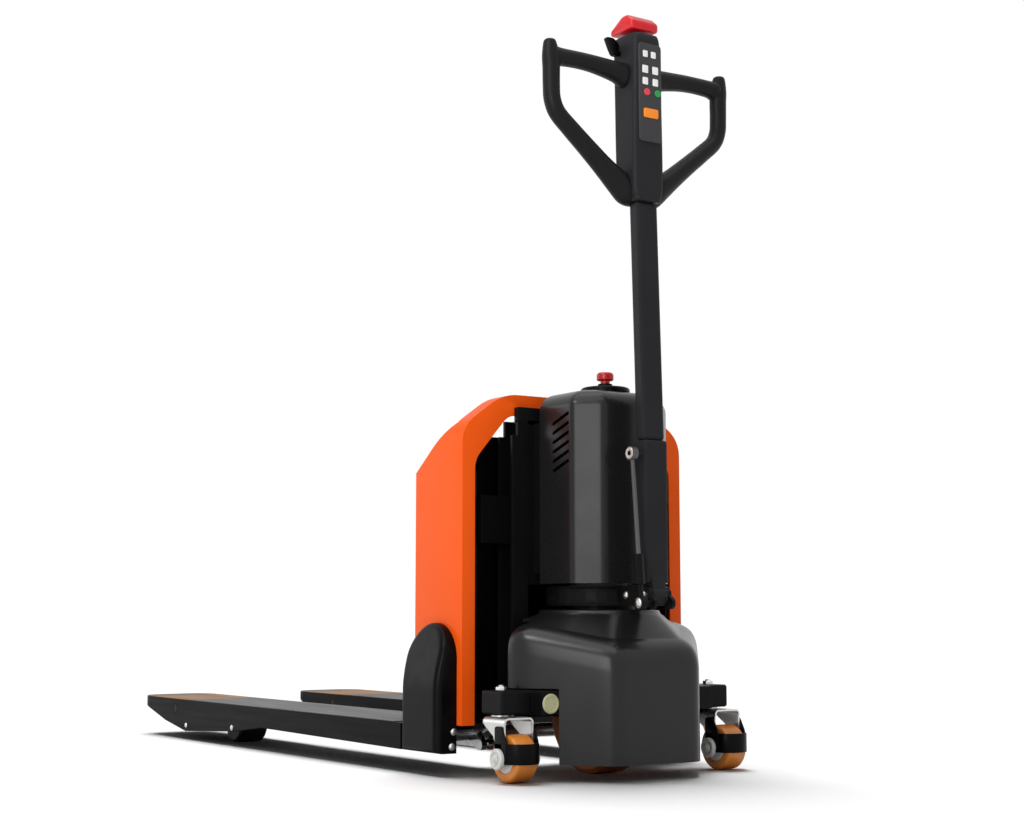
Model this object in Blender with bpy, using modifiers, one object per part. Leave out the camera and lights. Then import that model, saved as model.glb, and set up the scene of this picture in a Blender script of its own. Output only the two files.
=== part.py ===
"""Powered walk-behind pallet truck: twin forks on a lifting carriage, a steered drive unit and a tiller.

Metres, +Z up, +Y towards the fork tips, +X to the operator's right when facing the forks.
Every piece is drawn with the steering axis at x = 0, y = 0 and the floor at z = 0.
The truck empty then moves the steering axis so that the origin is the middle of the footprint.
"""

import math

import bmesh
import bpy
from mathutils import Matrix, Vector

# Fits between pieces
GAP = 0.0003
RUN_GAP = 0.0005
SLIDE_GAP = 0.0005
CUT_PAST = 0.020
WELD = 0.00001

# Forks
FORK_SPREAD = 0.540
FORK_WIDTH = 0.160
FORK_LENGTH = 1.144
FORK_TOP = 0.083
FORK_PLATE = 0.005
FORK_TAIL = 0.081
FORK_STEP = 0.002
FORK_STEP_AHEAD = 0.004
FORK_HEEL_DEPTH = 0.047
FORK_SLIM_DEPTH = 0.040
FORK_SLIM_FROM_TIP = 0.621
FORK_WHEEL_DEPTH = 0.054
FORK_WHEEL_FROM_TIP = 0.495
FORK_NOSE_DEPTH = 0.0665
FORK_NOSE_FROM_TIP = 0.253
FORK_CHIN_DEPTH = 0.049
FORK_CHIN_FROM_TIP = 0.145
FORK_TIP_DEPTH = 0.013
NOSE_SOLID = 0.100
TIP_RADIUS = 0.050
LIFT = 0.115

# Load wheels and their linkage inside the forks
PIVOT_Z = 0.062
ARM_PIVOT_FROM_TIP = 0.200
ARM_LENGTH = 0.190
ARM_SIDE_GAP = 0.003
ARM_PLATE = 0.006
ARM_RADIUS = 0.0125
ARM_HUB_RADIUS = 0.013
ARM_PIN_RADIUS = 0.008
AXLE_RADIUS = 0.0078
ROLLER_RADIUS = 0.038
ROLLER_WIDTH = 0.062
ROLLER_EDGE = 0.004
CRANK_BACK = 0.030
CRANK_DROP = 0.018
CRANK_PIN_RADIUS = 0.006
ROD_SET_IN = 0.0295
ROD_WIDTH = 0.012
ROD_HALF = 0.0055
ROD_EYE_RADIUS = 0.009
ROD_SIDE_GAP = 0.0025
SHAFT_FROM_FRONT = 0.061
SHAFT_RADIUS = 0.012
CRANK_PLATE = 0.012
CRANK_RADIUS = 0.0145
LEVER_RADIUS = 0.007
LEVER_TIP_RADIUS = 0.010

# Arched carriage frame
ARCH_REAR = 0.065
ARCH_DEPTH = 0.151
ARCH_SET_IN = 0.038
ARCH_SHOULDER = 0.575
ARCH_TOP = 0.634
ARCH_SHOULDER_RUN = 0.082
ARCH_FLANGE = 0.025
ARCH_INNER_SHOULDER = 0.520
ARCH_BAR = 0.036
ARCH_INNER_RUN = 0.092
ARCH_SHEET = 0.004
ARCH_FRONT_HEIGHT = 0.505
ARCH_BAR_DEPTH = 0.040
ARCH_BAR_DROP = 0.049

# Heel guards over the fork roots
GUARD_SET_IN = 0.015
GUARD_LENGTH = 0.1172
GUARD_THICK = 0.0397
GUARD_HEIGHT = 0.248
GUARD_FLOOR = 0.036
GUARD_ROUND = 0.010
GUARD_LEAN_FLOOR = 0.165
GUARD_TOP_THICK = 0.012

# Carriage plates, battery and slide pads
PLATE_SET_IN = 0.006
PLATE_THICK = 0.011
PLATE_TOP = 0.500
SIDE_PLATE = 0.006
SIDE_PLATE_SET_IN = 0.0265
SIDE_PLATE_REAR = 0.070
TRAY_REAR = 0.112
TRAY_FLOOR = 0.118
TRAY_PLATE = 0.0117
BATTERY_SET_IN = 0.037
BATTERY_TOP = 0.565
BATTERY_ROUND = 0.050
PAD_BOTTOM = 0.380
PAD_HEIGHT = 0.080

# Chassis and mast
DECK_TOP = 0.232
DECK_PLATE = 0.010
DECK_REAR = 0.098
DECK_REAR_HALF = 0.060
DECK_SIDE_REAR = 0.045
DECK_TAB_FRONT = 0.105
CHASSIS_FRONT = 0.050
CHEEK_SET_OUT = 0.030
CHEEK_PLATE = 0.008
CHEEK_BOTTOM = 0.100
CHEEK_REAR = 0.070
FOOT_FRONT = 0.003
FOOT_REAR = 0.0265
FOOT_SIDE = 0.002
FOOT_TOP = 0.150
FOOT_CLEAR = 0.001
MAST_WIDTH = 0.032
MAST_DEPTH = 0.0447
MAST_WALL = 0.006
MAST_BOTTOM = 0.125
MAST_TOP = 0.590
TIE_BOTTOM = 0.312
LIP_PLATE = 0.0067
LIP_REAR = 0.005
LIP_BOTTOM = 0.330
LIP_TOP = 0.585
CYLINDER_Y = 0.082
SHELF_HALF = 0.030
SHELF_FRONT = 0.102
SHELF_PLATE = 0.006
MAST_STEP_HALF = 0.131
MAST_SHOULDER = 0.563
CYLINDER_RADIUS = 0.018
CYLINDER_TOP = 0.505
CYLINDER_BASE = 0.0165
RAM_RADIUS = 0.010
RAM_BOTTOM = 0.340

# Drive unit and steering
SLEW_RADIUS = 0.0782
NECK_FLANGE = 0.004
NECK_WALL = 0.004
NECK_TOP = 0.266
STEER_SHAFT_RADIUS = 0.060
STEER_SHAFT_BOTTOM = 0.2198
STEER_DISC_RADIUS = 0.088
STEER_DISC_BOTTOM = 0.2765
STEER_DISC_TOP = 0.3085
YOKE_FLOOR = 0.280
YOKE_REAR = 0.133
DRIVE_RADIUS = 0.100
DRIVE_WIDTH = 0.065
DRIVE_EDGE = 0.006
DRIVE_HUB_RADIUS = 0.0617
DRIVE_HUB_WIDTH = 0.056
DRIVE_AXLE_RADIUS = 0.015
GEARBOX_GAP = 0.0067
GEARBOX_WIDTH = 0.0458
GEARBOX_HALF = 0.045
GEARBOX_BOTTOM = 0.055
GEARBOX_FLANGE_RADIUS = 0.085
GEARBOX_FLANGE = 0.0155
GEARBOX_ROUND = 0.004
MOTOR_RADIUS = 0.048
MOTOR_TOP = 0.460

# Lower skirt
SKIRT_REAR = 0.160
SKIRT_REAR_IN = 0.055
SKIRT_SIDE_OUT = 0.050
SKIRT_CORNER = 0.030
SKIRT_FRONT = 0.045
SKIRT_SIDE_FRONT = 0.008
SKIRT_SIDE_IN = 0.015
SKIRT_FLOOR = 0.025
SKIRT_RIM_SIDE = 0.235
SKIRT_RIM_REAR = 0.205
SKIRT_NECK_RADIUS = 0.0925
SKIRT_NECK_TOP = 0.270
SKIRT_WALL = 0.004
SKIRT_CRISP = 44.0

# Upper cover and emergency stop
COVER_REAR = 0.100
COVER_REAR_HALF = 0.062
COVER_HALF = 0.100
COVER_CORNER = 0.062
COVER_FRONT = 0.030
COVER_BOTTOM = 0.313
COVER_TOP = 0.635
COVER_WALL = 0.003
COVER_CRISP = 64.0
COVER_ROUND = 0.022
LOUVRE_COUNT = 6
LOUVRE_PITCH = 0.018
LOUVRE_LENGTH = 0.044
LOUVRE_HEIGHT = 0.006
LOUVRE_SLANT = math.radians(33.0)
LOUVRE_TOP = 0.598
LOUVRE_Y = -0.031
CAP_Y = -0.022
CAP_RADIUS = 0.042
CAP_THICK = 0.0097
CAP_LIP = 0.004
STOP_COLLAR_RADIUS = 0.0125
STOP_COLLAR = 0.0067
STOP_RADIUS = 0.0145
STOP_HEIGHT = 0.0145
STOP_STEM_RADIUS = 0.008
STOP_TRAVEL = 0.005

# Power pack under the cover
PUMP_RADIUS = 0.036
PUMP_X = -0.045
PUMP_Z = 0.545
PUMP_LENGTH = 0.110
CONTROLLER_IN = 0.005
CONTROLLER_WIDTH = 0.080
CONTROLLER_DEPTH = 0.045
CONTROLLER_HEIGHT = 0.110
CONTROLLER_BOTTOM = 0.490
CONTROLLER_ROUND = 0.003

# Casters
CASTER_SET_IN = 0.055
CASTER_Y = -0.0265
CASTER_TRAIL = 0.0395
CASTER_RADIUS = 0.0375
CASTER_WIDTH = 0.040
CASTER_EDGE = 0.004
CASTER_ARM_SET_IN = 0.036
CASTER_ARM_FRONT = 0.0275
CASTER_ARM_REAR = 0.085
CASTER_ARM_BOTTOM = 0.104
CASTER_BOSS_SET_IN = 0.069
CASTER_BOSS_HALF = 0.0305
CASTER_LINK_LAP = 0.010
CASTER_ARM_TOP = 0.142
CASTER_ARM_ROUND = 0.004
CASTER_LEG_IN = 0.0245
CASTER_LEG = 0.0035
CASTER_CROWN = 0.0082
CASTER_GUSSET = 0.014
CASTER_LEG_REACH = 0.012
CASTER_STEM_RADIUS = 0.008
CASTER_STEM_PROUD = 0.004
CASTER_AXLE_RADIUS = 0.005
BAND_THICK = 0.003
BAND_BOTTOM = 0.030
BAND_TOP = 0.062
BAND_CHEEK_TOP = 0.088
BAND_CLEAR = 0.003
BAND_BEND = 0.018
ARM_NOTCH = 0.0015

# Tiller
TILLER_Y = -0.153
TILLER_Z = 0.292
TILLER_PIN_RADIUS = 0.008
TILLER_PIN_HALF = 0.0235
BOSS_HALF = 0.0140
BOSS_RADIUS = 0.016
EAR_PLATE = 0.0073
EAR_RADIUS = 0.016
LOBE_RADIUS = 0.010
SLEEVE_HALF = 0.0235
SLEEVE_Y = -0.144
SLEEVE_DEPTH = 0.032
SLEEVE_BOTTOM = 0.312
SLEEVE_TOP = 0.545
SLEEVE_ROUND = 0.004
TUBE_WIDTH = 0.043
TUBE_DEPTH = 0.024
TUBE_ROUND = 0.005
TUBE_HEAD_Y = -0.131
HEAD_BOTTOM = 0.945
HEAD_TOP = 1.235
HEAD_HALF = 0.030
HEAD_REAR = 0.150
HEAD_FRONT = 0.090
HEAD_ROUND = 0.008

# Gas spring beside the tiller
SPRING_X = -0.0435
SPRING_TOP_Y = -0.151
SPRING_FROM_SLEEVE = 0.0235
SPRING_STUD_Y = -0.1693
SPRING_STUD_Z = 0.2804
SPRING_STUD_RADIUS = 0.004
SPRING_BARREL_RADIUS = 0.0085
SPRING_BARREL_START = 0.030
SPRING_BARREL_END = 0.078
SPRING_NECK_RADIUS = 0.0045
SPRING_ROD_RADIUS = 0.004
SPRING_ROD_FOOT = 0.066
SPRING_EYE_RADIUS = 0.0115
SPRING_EYE_WIDTH = 0.010
SPRING_EYE_PLAY = 0.0035
SPRING_EYE_SHIFT = 0.0025

# Handle loops
LOOP_RADIUS = 0.0145
LOOP_Y = -0.118
LOOP_HALF = 0.1925
LOOP_FROM_TOP = 0.0485
LOOP_FOOT_UP = 0.030
LOOP_FOOT_RUN = 0.012
LOOP_CORNER_FROM_TOP = 0.135
LOOP_BEND = 0.028
LOOP_TOP_BEND = 0.018
LOOP_HORN_UP = 0.010
LOOP_HORN_RADIUS = 0.011

# Controls in the tiller head
PANEL_HALF = 0.024
PANEL_HEIGHT = 0.170
PANEL_FROM_TOP = 0.020
PANEL_THICK = 0.0037
BUTTON_RADIUS = 0.006
BUTTON_PROUD = 0.002
BUTTON_THICK = 0.0035
RED_X = -0.008
GREEN_X = 0.0145
BUTTON_FROM_TOP = 0.105
AMBER_HALF = 0.015
AMBER_HEIGHT = 0.016
AMBER_FROM_TOP = 0.141
BELLY_HALF = 0.028
BELLY_HEIGHT = 0.030
BELLY_REAR = 0.141
BELLY_FRONT = 0.080
BELLY_RIDGE_Y = -0.119
BELLY_LIP = 0.007
BELLY_ROUND = 0.004
BELLY_STEM_Y = -0.114
BELLY_STEM_RADIUS = 0.012
BELLY_STEM = 0.0125
BELLY_TRAVEL = 0.005
PADDLE_Y = -0.105
PADDLE_FROM_TOP = 0.030
PADDLE_SHAFT_RADIUS = 0.005
PADDLE_HUB_RADIUS = 0.007
PADDLE_WIDTH = 0.0265
PADDLE_LENGTH = 0.021
PADDLE_THICK = 0.007

# Facets on round pieces
SIDES_WHEEL = 32
SIDES_ROLLER = 24
SIDES_PIN = 16
SIDES_SHELL = 72
ARC_STEPS = 6

# Places worked out from the sizes above
ARCH_FRONT = ARCH_REAR + ARCH_DEPTH
TIP_Y = ARCH_FRONT + FORK_LENGTH
FORK_OUT = FORK_SPREAD / 2
FORK_IN = FORK_OUT - FORK_WIDTH
FORK_MID = (FORK_OUT + FORK_IN) / 2
ROD_X = FORK_IN + ROD_SET_IN
ARCH_HALF = FORK_OUT - ARCH_SET_IN
ARCH_TOP_HALF = ARCH_HALF - ARCH_SHOULDER_RUN
ARCH_INNER_TOP_HALF = ARCH_HALF - ARCH_INNER_RUN
PLATE_HALF = ARCH_HALF - PLATE_SET_IN
SIDE_PLATE_OUT = ARCH_HALF - SIDE_PLATE_SET_IN
BATTERY_HALF = ARCH_HALF - BATTERY_SET_IN
CHEEK_OUT = FORK_IN + CHEEK_SET_OUT
SKIRT_HALF = CHEEK_OUT + SKIRT_SIDE_OUT
SKIRT_REAR_HALF = CHEEK_OUT - SKIRT_REAR_IN
CASTER_X = FORK_OUT - CASTER_SET_IN
CASTER_ARM_OUT = FORK_OUT - CASTER_ARM_SET_IN
CASTER_BOSS_IN = CASTER_ARM_OUT - CASTER_BOSS_SET_IN
MAST_INNER = FORK_IN
DECK_TAB_HALF = MAST_INNER - 2 * RUN_GAP
PADDLE_Z = HEAD_TOP - PADDLE_FROM_TOP
PANEL_TOP = HEAD_TOP - PANEL_FROM_TOP
PANEL_BOTTOM = PANEL_TOP - PANEL_HEIGHT
BUTTON_Z = HEAD_TOP - BUTTON_FROM_TOP
AMBER_Z = HEAD_TOP - AMBER_FROM_TOP
LOOP_TOP = HEAD_TOP - LOOP_FROM_TOP
LOOP_CORNER_Z = HEAD_TOP - LOOP_CORNER_FROM_TOP
LOOP_FOOT = HEAD_BOTTOM + LOOP_FOOT_UP
SPRING_TOP_Z = SLEEVE_TOP - SPRING_FROM_SLEEVE
CARRIAGE_FLOOR = FORK_TOP - FORK_STEP + GAP
GUARD_REAR = ARCH_REAR + GUARD_SET_IN
GUARD_FRONT = GUARD_REAR + GUARD_LENGTH
ARM_PIVOT = (TIP_Y - ARM_PIVOT_FROM_TIP, PIVOT_Z)
ARM_DROP = PIVOT_Z - ROLLER_RADIUS
ARM_REACH = math.sqrt(ARM_LENGTH ** 2 - ARM_DROP ** 2)
ARM_SWING = math.asin((ARM_DROP + LIFT) / ARM_LENGTH) - math.asin(ARM_DROP / ARM_LENGTH)
ARM_IN = ROLLER_WIDTH / 2 + ARM_SIDE_GAP
ARM_OUT = ARM_IN + ARM_PLATE
ARM_CRANK_PIN = (ARM_PIVOT[0] - CRANK_BACK, PIVOT_Z - CRANK_DROP)
SHAFT = (ARCH_FRONT - SHAFT_FROM_FRONT, PIVOT_Z)
SHAFT_CRANK_PIN = (SHAFT[0] - CRANK_BACK, PIVOT_Z - CRANK_DROP)
LEVER_LENGTH = LIFT / 2 / math.sin(ARM_SWING / 2)
LEVER_TIP = (SHAFT[0] - LEVER_LENGTH * math.cos(ARM_SWING / 2), PIVOT_Z + LIFT / 2)
PIN_END = ROD_X - ROD_WIDTH / 2 - ROD_SIDE_GAP
CRANK_IN = ROD_X + ROD_WIDTH / 2 + ROD_SIDE_GAP
FOOT_OUT = CRANK_IN + CRANK_PLATE + FOOT_SIDE
MAST_REAR = CHASSIS_FRONT + GAP
MAST_FRONT = MAST_REAR + MAST_DEPTH
PLATE_FRONT = ARCH_FRONT - ARCH_SHEET - RUN_GAP
PLATE_REAR = PLATE_FRONT - PLATE_THICK
YOKE_IN = BOSS_HALF + RUN_GAP
YOKE_OUT = YOKE_IN + EAR_PLATE
SPRING_EYE_Y = SPRING_STUD_Y - SPRING_EYE_SHIFT
SPRING_EYE_Z = SPRING_STUD_Z
PANEL_FACE = -HEAD_REAR - GAP - PANEL_THICK
CASTER_CROWN_TOP = CASTER_ARM_BOTTOM - GAP
CASTER_SWEEP = math.hypot(CASTER_TRAIL + CASTER_RADIUS + BAND_CLEAR + BAND_THICK,
                          CASTER_LEG_IN + CASTER_LEG + GAP + BAND_THICK)
STEER_Y = (SPRING_EYE_RADIUS - SPRING_EYE_Y - TIP_Y) / 2


def srgb(red, green, blue):
    """Linear colour of an 8-bit screen colour."""
    return tuple((value / 255) ** 2.2 for value in (red, green, blue)) + (1.0,)


def material(name, colour, roughness, metallic=0.0):
    """Principled material of one finish."""
    made = bpy.data.materials.new(name)
    made.use_nodes = True
    shader = made.node_tree.nodes["Principled BSDF"]
    shader.inputs["Base Color"].default_value = colour
    shader.inputs["Roughness"].default_value = roughness
    shader.inputs["Metallic"].default_value = metallic
    return made


def start_scene():
    """Empty the scene and make the collections and the truck empty."""
    for old in list(bpy.data.objects):
        bpy.data.objects.remove(old, do_unlink=True)
    parts = bpy.data.collections.new("pallet_truck")
    cutters = bpy.data.collections.new("cutters")
    for group in (parts, cutters):
        bpy.context.scene.collection.children.link(group)
    truck = bpy.data.objects.new("truck", None)
    truck.location = (0.0, STEER_Y, 0.0)
    parts.objects.link(truck)
    return parts, cutters, truck


PARTS, CUTTERS, TRUCK = start_scene()

ORANGE_PAINT = material("orange_paint", srgb(243, 92, 36), 0.35)
BLACK_PAINT = material("black_paint", srgb(40, 40, 42), 0.45)
BLACK_PLASTIC = material("black_plastic", srgb(38, 38, 40), 0.42)
SKIRT_PLASTIC = material("skirt_plastic", srgb(62, 62, 63), 0.30)
SOFT_GRIP = material("soft_grip", srgb(48, 48, 50), 0.60)
ZINC = material("zinc", srgb(190, 190, 192), 0.35, 1.0)
STEEL = material("steel", srgb(150, 150, 152), 0.35, 1.0)
ORANGE_TYRE = material("orange_tyre", srgb(190, 118, 52), 0.55)
RED_PLASTIC = material("red_plastic", srgb(214, 52, 58), 0.35)
GREEN_PLASTIC = material("green_plastic", srgb(14, 140, 74), 0.40)
AMBER_PLASTIC = material("amber_plastic", srgb(238, 140, 40), 0.40)
GREY_PANEL = material("grey_panel", srgb(92, 92, 95), 0.45)
NYLON = material("nylon", srgb(205, 202, 190), 0.55)
MOTOR_GREY = material("motor_grey", srgb(110, 112, 114), 0.45, 0.6)


def welded(mesh):
    """Weld a mesh's doubled points and turn its faces outwards."""
    work = bmesh.new()
    work.from_mesh(mesh)
    bmesh.ops.remove_doubles(work, verts=work.verts, dist=WELD)
    bmesh.ops.recalc_face_normals(work, faces=work.faces)
    work.to_mesh(mesh)
    work.free()
    return mesh


def evaluated_mesh(holder):
    """Mesh of an object as its modifiers or bevel make it; the object is removed."""
    bpy.context.scene.collection.objects.link(holder)
    bpy.context.view_layer.update()
    depsgraph = bpy.context.evaluated_depsgraph_get()
    mesh = bpy.data.meshes.new_from_object(holder.evaluated_get(depsgraph))
    mesh.transform(holder.matrix_world)
    bpy.data.objects.remove(holder)
    return welded(mesh)


def box(low, high, bevel=0.0, segments=2):
    """Block between two corners, its edges rounded by bevel."""
    work = bmesh.new()
    bmesh.ops.create_cube(work, size=1.0)
    size = Vector(high) - Vector(low)
    bmesh.ops.scale(work, vec=size, verts=work.verts)
    bmesh.ops.translate(work, vec=(Vector(high) + Vector(low)) / 2, verts=work.verts)
    mesh = bpy.data.meshes.new("block")
    work.to_mesh(mesh)
    work.free()
    return rounded(mesh, bevel, segments)


def rounded(mesh, bevel, segments=2):
    """Mesh with its sharp edges rounded by bevel."""
    if bevel <= 0.0:
        return mesh
    holder = bpy.data.objects.new("rounded", mesh)
    edge = holder.modifiers.new("round", "BEVEL")
    edge.width = bevel
    edge.segments = segments
    edge.limit_method = "ANGLE"
    return evaluated_mesh(holder)


def axis_turn(axis):
    """Turn that carries +Z onto a main axis and keeps outlines upright."""
    columns = {
        "X": ((0, 1, 0), (0, 0, 1), (1, 0, 0)),
        "Y": ((1, 0, 0), (0, 0, 1), (0, -1, 0)),
        "Z": ((1, 0, 0), (0, 1, 0), (0, 0, 1)),
    }[axis]
    return Matrix(columns).transposed().to_4x4()


def along(axis, start, end):
    """Offset to the middle of a stretch along a main axis."""
    return Vector({"X": (1, 0, 0), "Y": (0, 1, 0), "Z": (0, 0, 1)}[axis]) * (start + end) / 2


def round_bar(axis, centre, radius, start, end, sides=SIDES_PIN, end_radius=None):
    """Cylinder or cone along a main axis, a flat of it facing down; centre is (across, up) in its outline."""
    work = bmesh.new()
    stretch = 1.0 / math.cos(math.pi / sides)
    tip = radius if end_radius is None else end_radius
    bmesh.ops.create_cone(work, cap_ends=True, segments=sides, radius1=radius * stretch,
                          radius2=tip * stretch, depth=end - start)
    bmesh.ops.rotate(work, verts=work.verts, cent=(0, 0, 0),
                     matrix=Matrix.Rotation(math.pi / sides, 3, "Z"))
    bmesh.ops.translate(work, vec=(centre[0], centre[1], 0.0), verts=work.verts)
    mesh = bpy.data.meshes.new("bar")
    work.to_mesh(mesh)
    work.free()
    mesh.transform(Matrix.Translation(along(axis, start, end)) @ axis_turn(axis))
    return welded(mesh)


def plate(axis, outline, start, end, bevel=0.0, segments=2):
    """Flat outline of (across, up) points, thick from start to end along a main axis."""
    curve = bpy.data.curves.new("outline", "CURVE")
    curve.dimensions = "2D"
    curve.fill_mode = "BOTH"
    curve.extrude = (end - start) / 2
    spline = curve.splines.new("POLY")
    spline.points.add(len(outline) - 1)
    for point, place in zip(spline.points, outline):
        point.co = (place[0], place[1], 0.0, 1.0)
    spline.use_cyclic_u = True
    mesh = evaluated_mesh(bpy.data.objects.new("outline", curve))
    mesh.transform(Matrix.Translation(along(axis, start, end)) @ axis_turn(axis))
    return rounded(welded(mesh), bevel, segments)


def turned(axis, centre, profile, sides):
    """Closed (radius, place) profile turned about a main axis through centre, a flat of it facing down."""
    mesh = bpy.data.meshes.new("profile")
    stretch = 1.0 / math.cos(math.pi / sides)
    count = len(profile)
    points = [(radius * stretch, 0.0, place) for radius, place in profile]
    mesh.from_pydata(points, [(i, (i + 1) % count) for i in range(count)], [])
    holder = bpy.data.objects.new("profile", mesh)
    spin = holder.modifiers.new("spin", "SCREW")
    spin.steps = sides
    spin.render_steps = sides
    spin.use_merge_vertices = True
    spin.merge_threshold = WELD
    made = evaluated_mesh(holder)
    place = Matrix.Translation(Vector((centre[0], centre[1], 0.0))) @ Matrix.Rotation(math.pi / sides, 4, "Z")
    made.transform(axis_turn(axis) @ place)
    return welded(made)


def pipe(points, radius, resolution=2):
    """Round bar along a path of points, its ends capped."""
    curve = bpy.data.curves.new("path", "CURVE")
    curve.dimensions = "3D"
    curve.bevel_depth = radius
    curve.bevel_resolution = resolution
    curve.use_fill_caps = True
    spline = curve.splines.new("POLY")
    spline.points.add(len(points) - 1)
    for point, place in zip(spline.points, points):
        point.co = (place[0], place[1], place[2], 1.0)
    return evaluated_mesh(bpy.data.objects.new("path", curve))


def arc(centre, radius, start, end, steps=ARC_STEPS):
    """Points along a circular arc, angles in degrees."""
    angles = [math.radians(start + (end - start) * i / steps) for i in range(steps + 1)]
    return [(centre[0] + radius * math.cos(a), centre[1] + radius * math.sin(a)) for a in angles]


def link_outline(first, first_radius, second, second_radius):
    """Outline of a bar with round ends about two points."""
    lean = math.degrees(math.atan2(second[1] - first[1], second[0] - first[0]))
    return arc(first, first_radius, lean + 90, lean + 270) + arc(second, second_radius, lean - 90, lean + 90)


def piece(name, mesh, finish, pivot=(0.0, 0.0, 0.0)):
    """Named part of the truck, its origin on its own joint's axis."""
    mesh.name = name
    mesh.transform(Matrix.Translation(-Vector(pivot)))
    mesh.materials.clear()
    mesh.materials.append(finish)
    mesh.shade_smooth()
    mesh.set_sharp_from_angle(angle=math.radians(35))
    made = bpy.data.objects.new(name, mesh)
    made.location = pivot
    made.parent = TRUCK
    PARTS.objects.link(made)
    return made


def shaped(target, mesh, operation):
    """Cut, join or trim a part with a helper shape."""
    helper = bpy.data.objects.new(target.name + "_" + operation.lower(), mesh)
    helper.parent = TRUCK
    helper.hide_render = True
    helper.display_type = "WIRE"
    CUTTERS.objects.link(helper)
    step = target.modifiers.new(operation.lower(), "BOOLEAN")
    step.operation = operation
    step.object = helper
    step.solver = "EXACT"


def cut(target, mesh):
    """Cut a helper shape out of a part."""
    shaped(target, mesh, "DIFFERENCE")


def join(target, mesh):
    """Weld a helper shape onto a part."""
    shaped(target, mesh, "UNION")


def span(side, inner, outer):
    """Stretch of x from inner to outer on one side of the truck, in rising order."""
    return tuple(sorted((side * inner, side * outer)))


def side_box(side, inner, outer, rear, front, bottom, top, bevel=0.0):
    """Block on one side of the truck."""
    low, high = span(side, inner, outer)
    return box((low, rear, bottom), (high, front, top), bevel)


SIDES = (("left", -1), ("right", 1))


def forks():
    """Pressed inverted channels with solid noses, and the pins that their load arms swing on."""
    tail = ARCH_FRONT - FORK_TAIL
    under = ((FORK_TIP_DEPTH, 0.0), (FORK_CHIN_DEPTH, FORK_CHIN_FROM_TIP), (FORK_NOSE_DEPTH, FORK_NOSE_FROM_TIP),
             (FORK_WHEEL_DEPTH, FORK_WHEEL_FROM_TIP), (FORK_SLIM_DEPTH, FORK_SLIM_FROM_TIP))
    over = FORK_TOP + CUT_PAST
    profile = [(tail - CUT_PAST, FORK_TOP - FORK_HEEL_DEPTH), (tail - CUT_PAST, over), (TIP_Y + CUT_PAST, over)]
    profile += [(TIP_Y + CUT_PAST, FORK_TOP - FORK_TIP_DEPTH)]
    profile += [(TIP_Y - back, FORK_TOP - depth) for depth, back in under]
    relief = GUARD_FRONT + GAP
    heel_out = ARCH_HALF - RUN_GAP
    plan = [(FORK_IN, tail), (heel_out, tail), (heel_out, relief), (FORK_OUT, relief)]
    plan += arc((FORK_OUT - TIP_RADIUS, TIP_Y - TIP_RADIUS), TIP_RADIUS, 0, 90)
    plan += arc((FORK_IN + TIP_RADIUS, TIP_Y - TIP_RADIUS), TIP_RADIUS, 90, 180)
    roof = FORK_TOP - FORK_PLATE
    step = ARCH_FRONT + FORK_STEP_AHEAD
    for name, side in SIDES:
        outline = [(side * x, y) for x, y in plan]
        body = piece("fork_" + name, plate("Z", outline, -CUT_PAST, FORK_TOP), BLACK_PAINT)
        low, high = span(side, FORK_IN - CUT_PAST, FORK_OUT + CUT_PAST)
        shaped(body, plate("X", profile, low, high), "INTERSECT")
        cut(body, side_box(side, FORK_IN - CUT_PAST, FORK_OUT + CUT_PAST, tail - CUT_PAST, step,
                           FORK_TOP - FORK_STEP, over))
        cut(body, side_box(side, FORK_IN + FORK_PLATE, heel_out - FORK_PLATE, tail - CUT_PAST,
                           relief + FORK_PLATE * 2, -CUT_PAST, roof))
        cut(body, side_box(side, FORK_IN + FORK_PLATE, FORK_OUT - FORK_PLATE, relief + FORK_PLATE,
                           TIP_Y - NOSE_SOLID, -CUT_PAST, roof))
        low, high = span(side, FORK_IN - CUT_PAST, FORK_IN + CUT_PAST)
        cut(body, round_bar("X", SHAFT, SHAFT_RADIUS + RUN_GAP, low, high))
        low, high = span(side, FORK_IN - CUT_PAST, FORK_OUT + CUT_PAST)
        cut(body, round_bar("X", ARM_PIVOT, ARM_PIN_RADIUS + GAP, low, high))
        low, high = span(side, FORK_IN, FORK_OUT)
        piece("load_pin_" + name, round_bar("X", ARM_PIVOT, ARM_PIN_RADIUS, low, high), STEEL)


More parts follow.
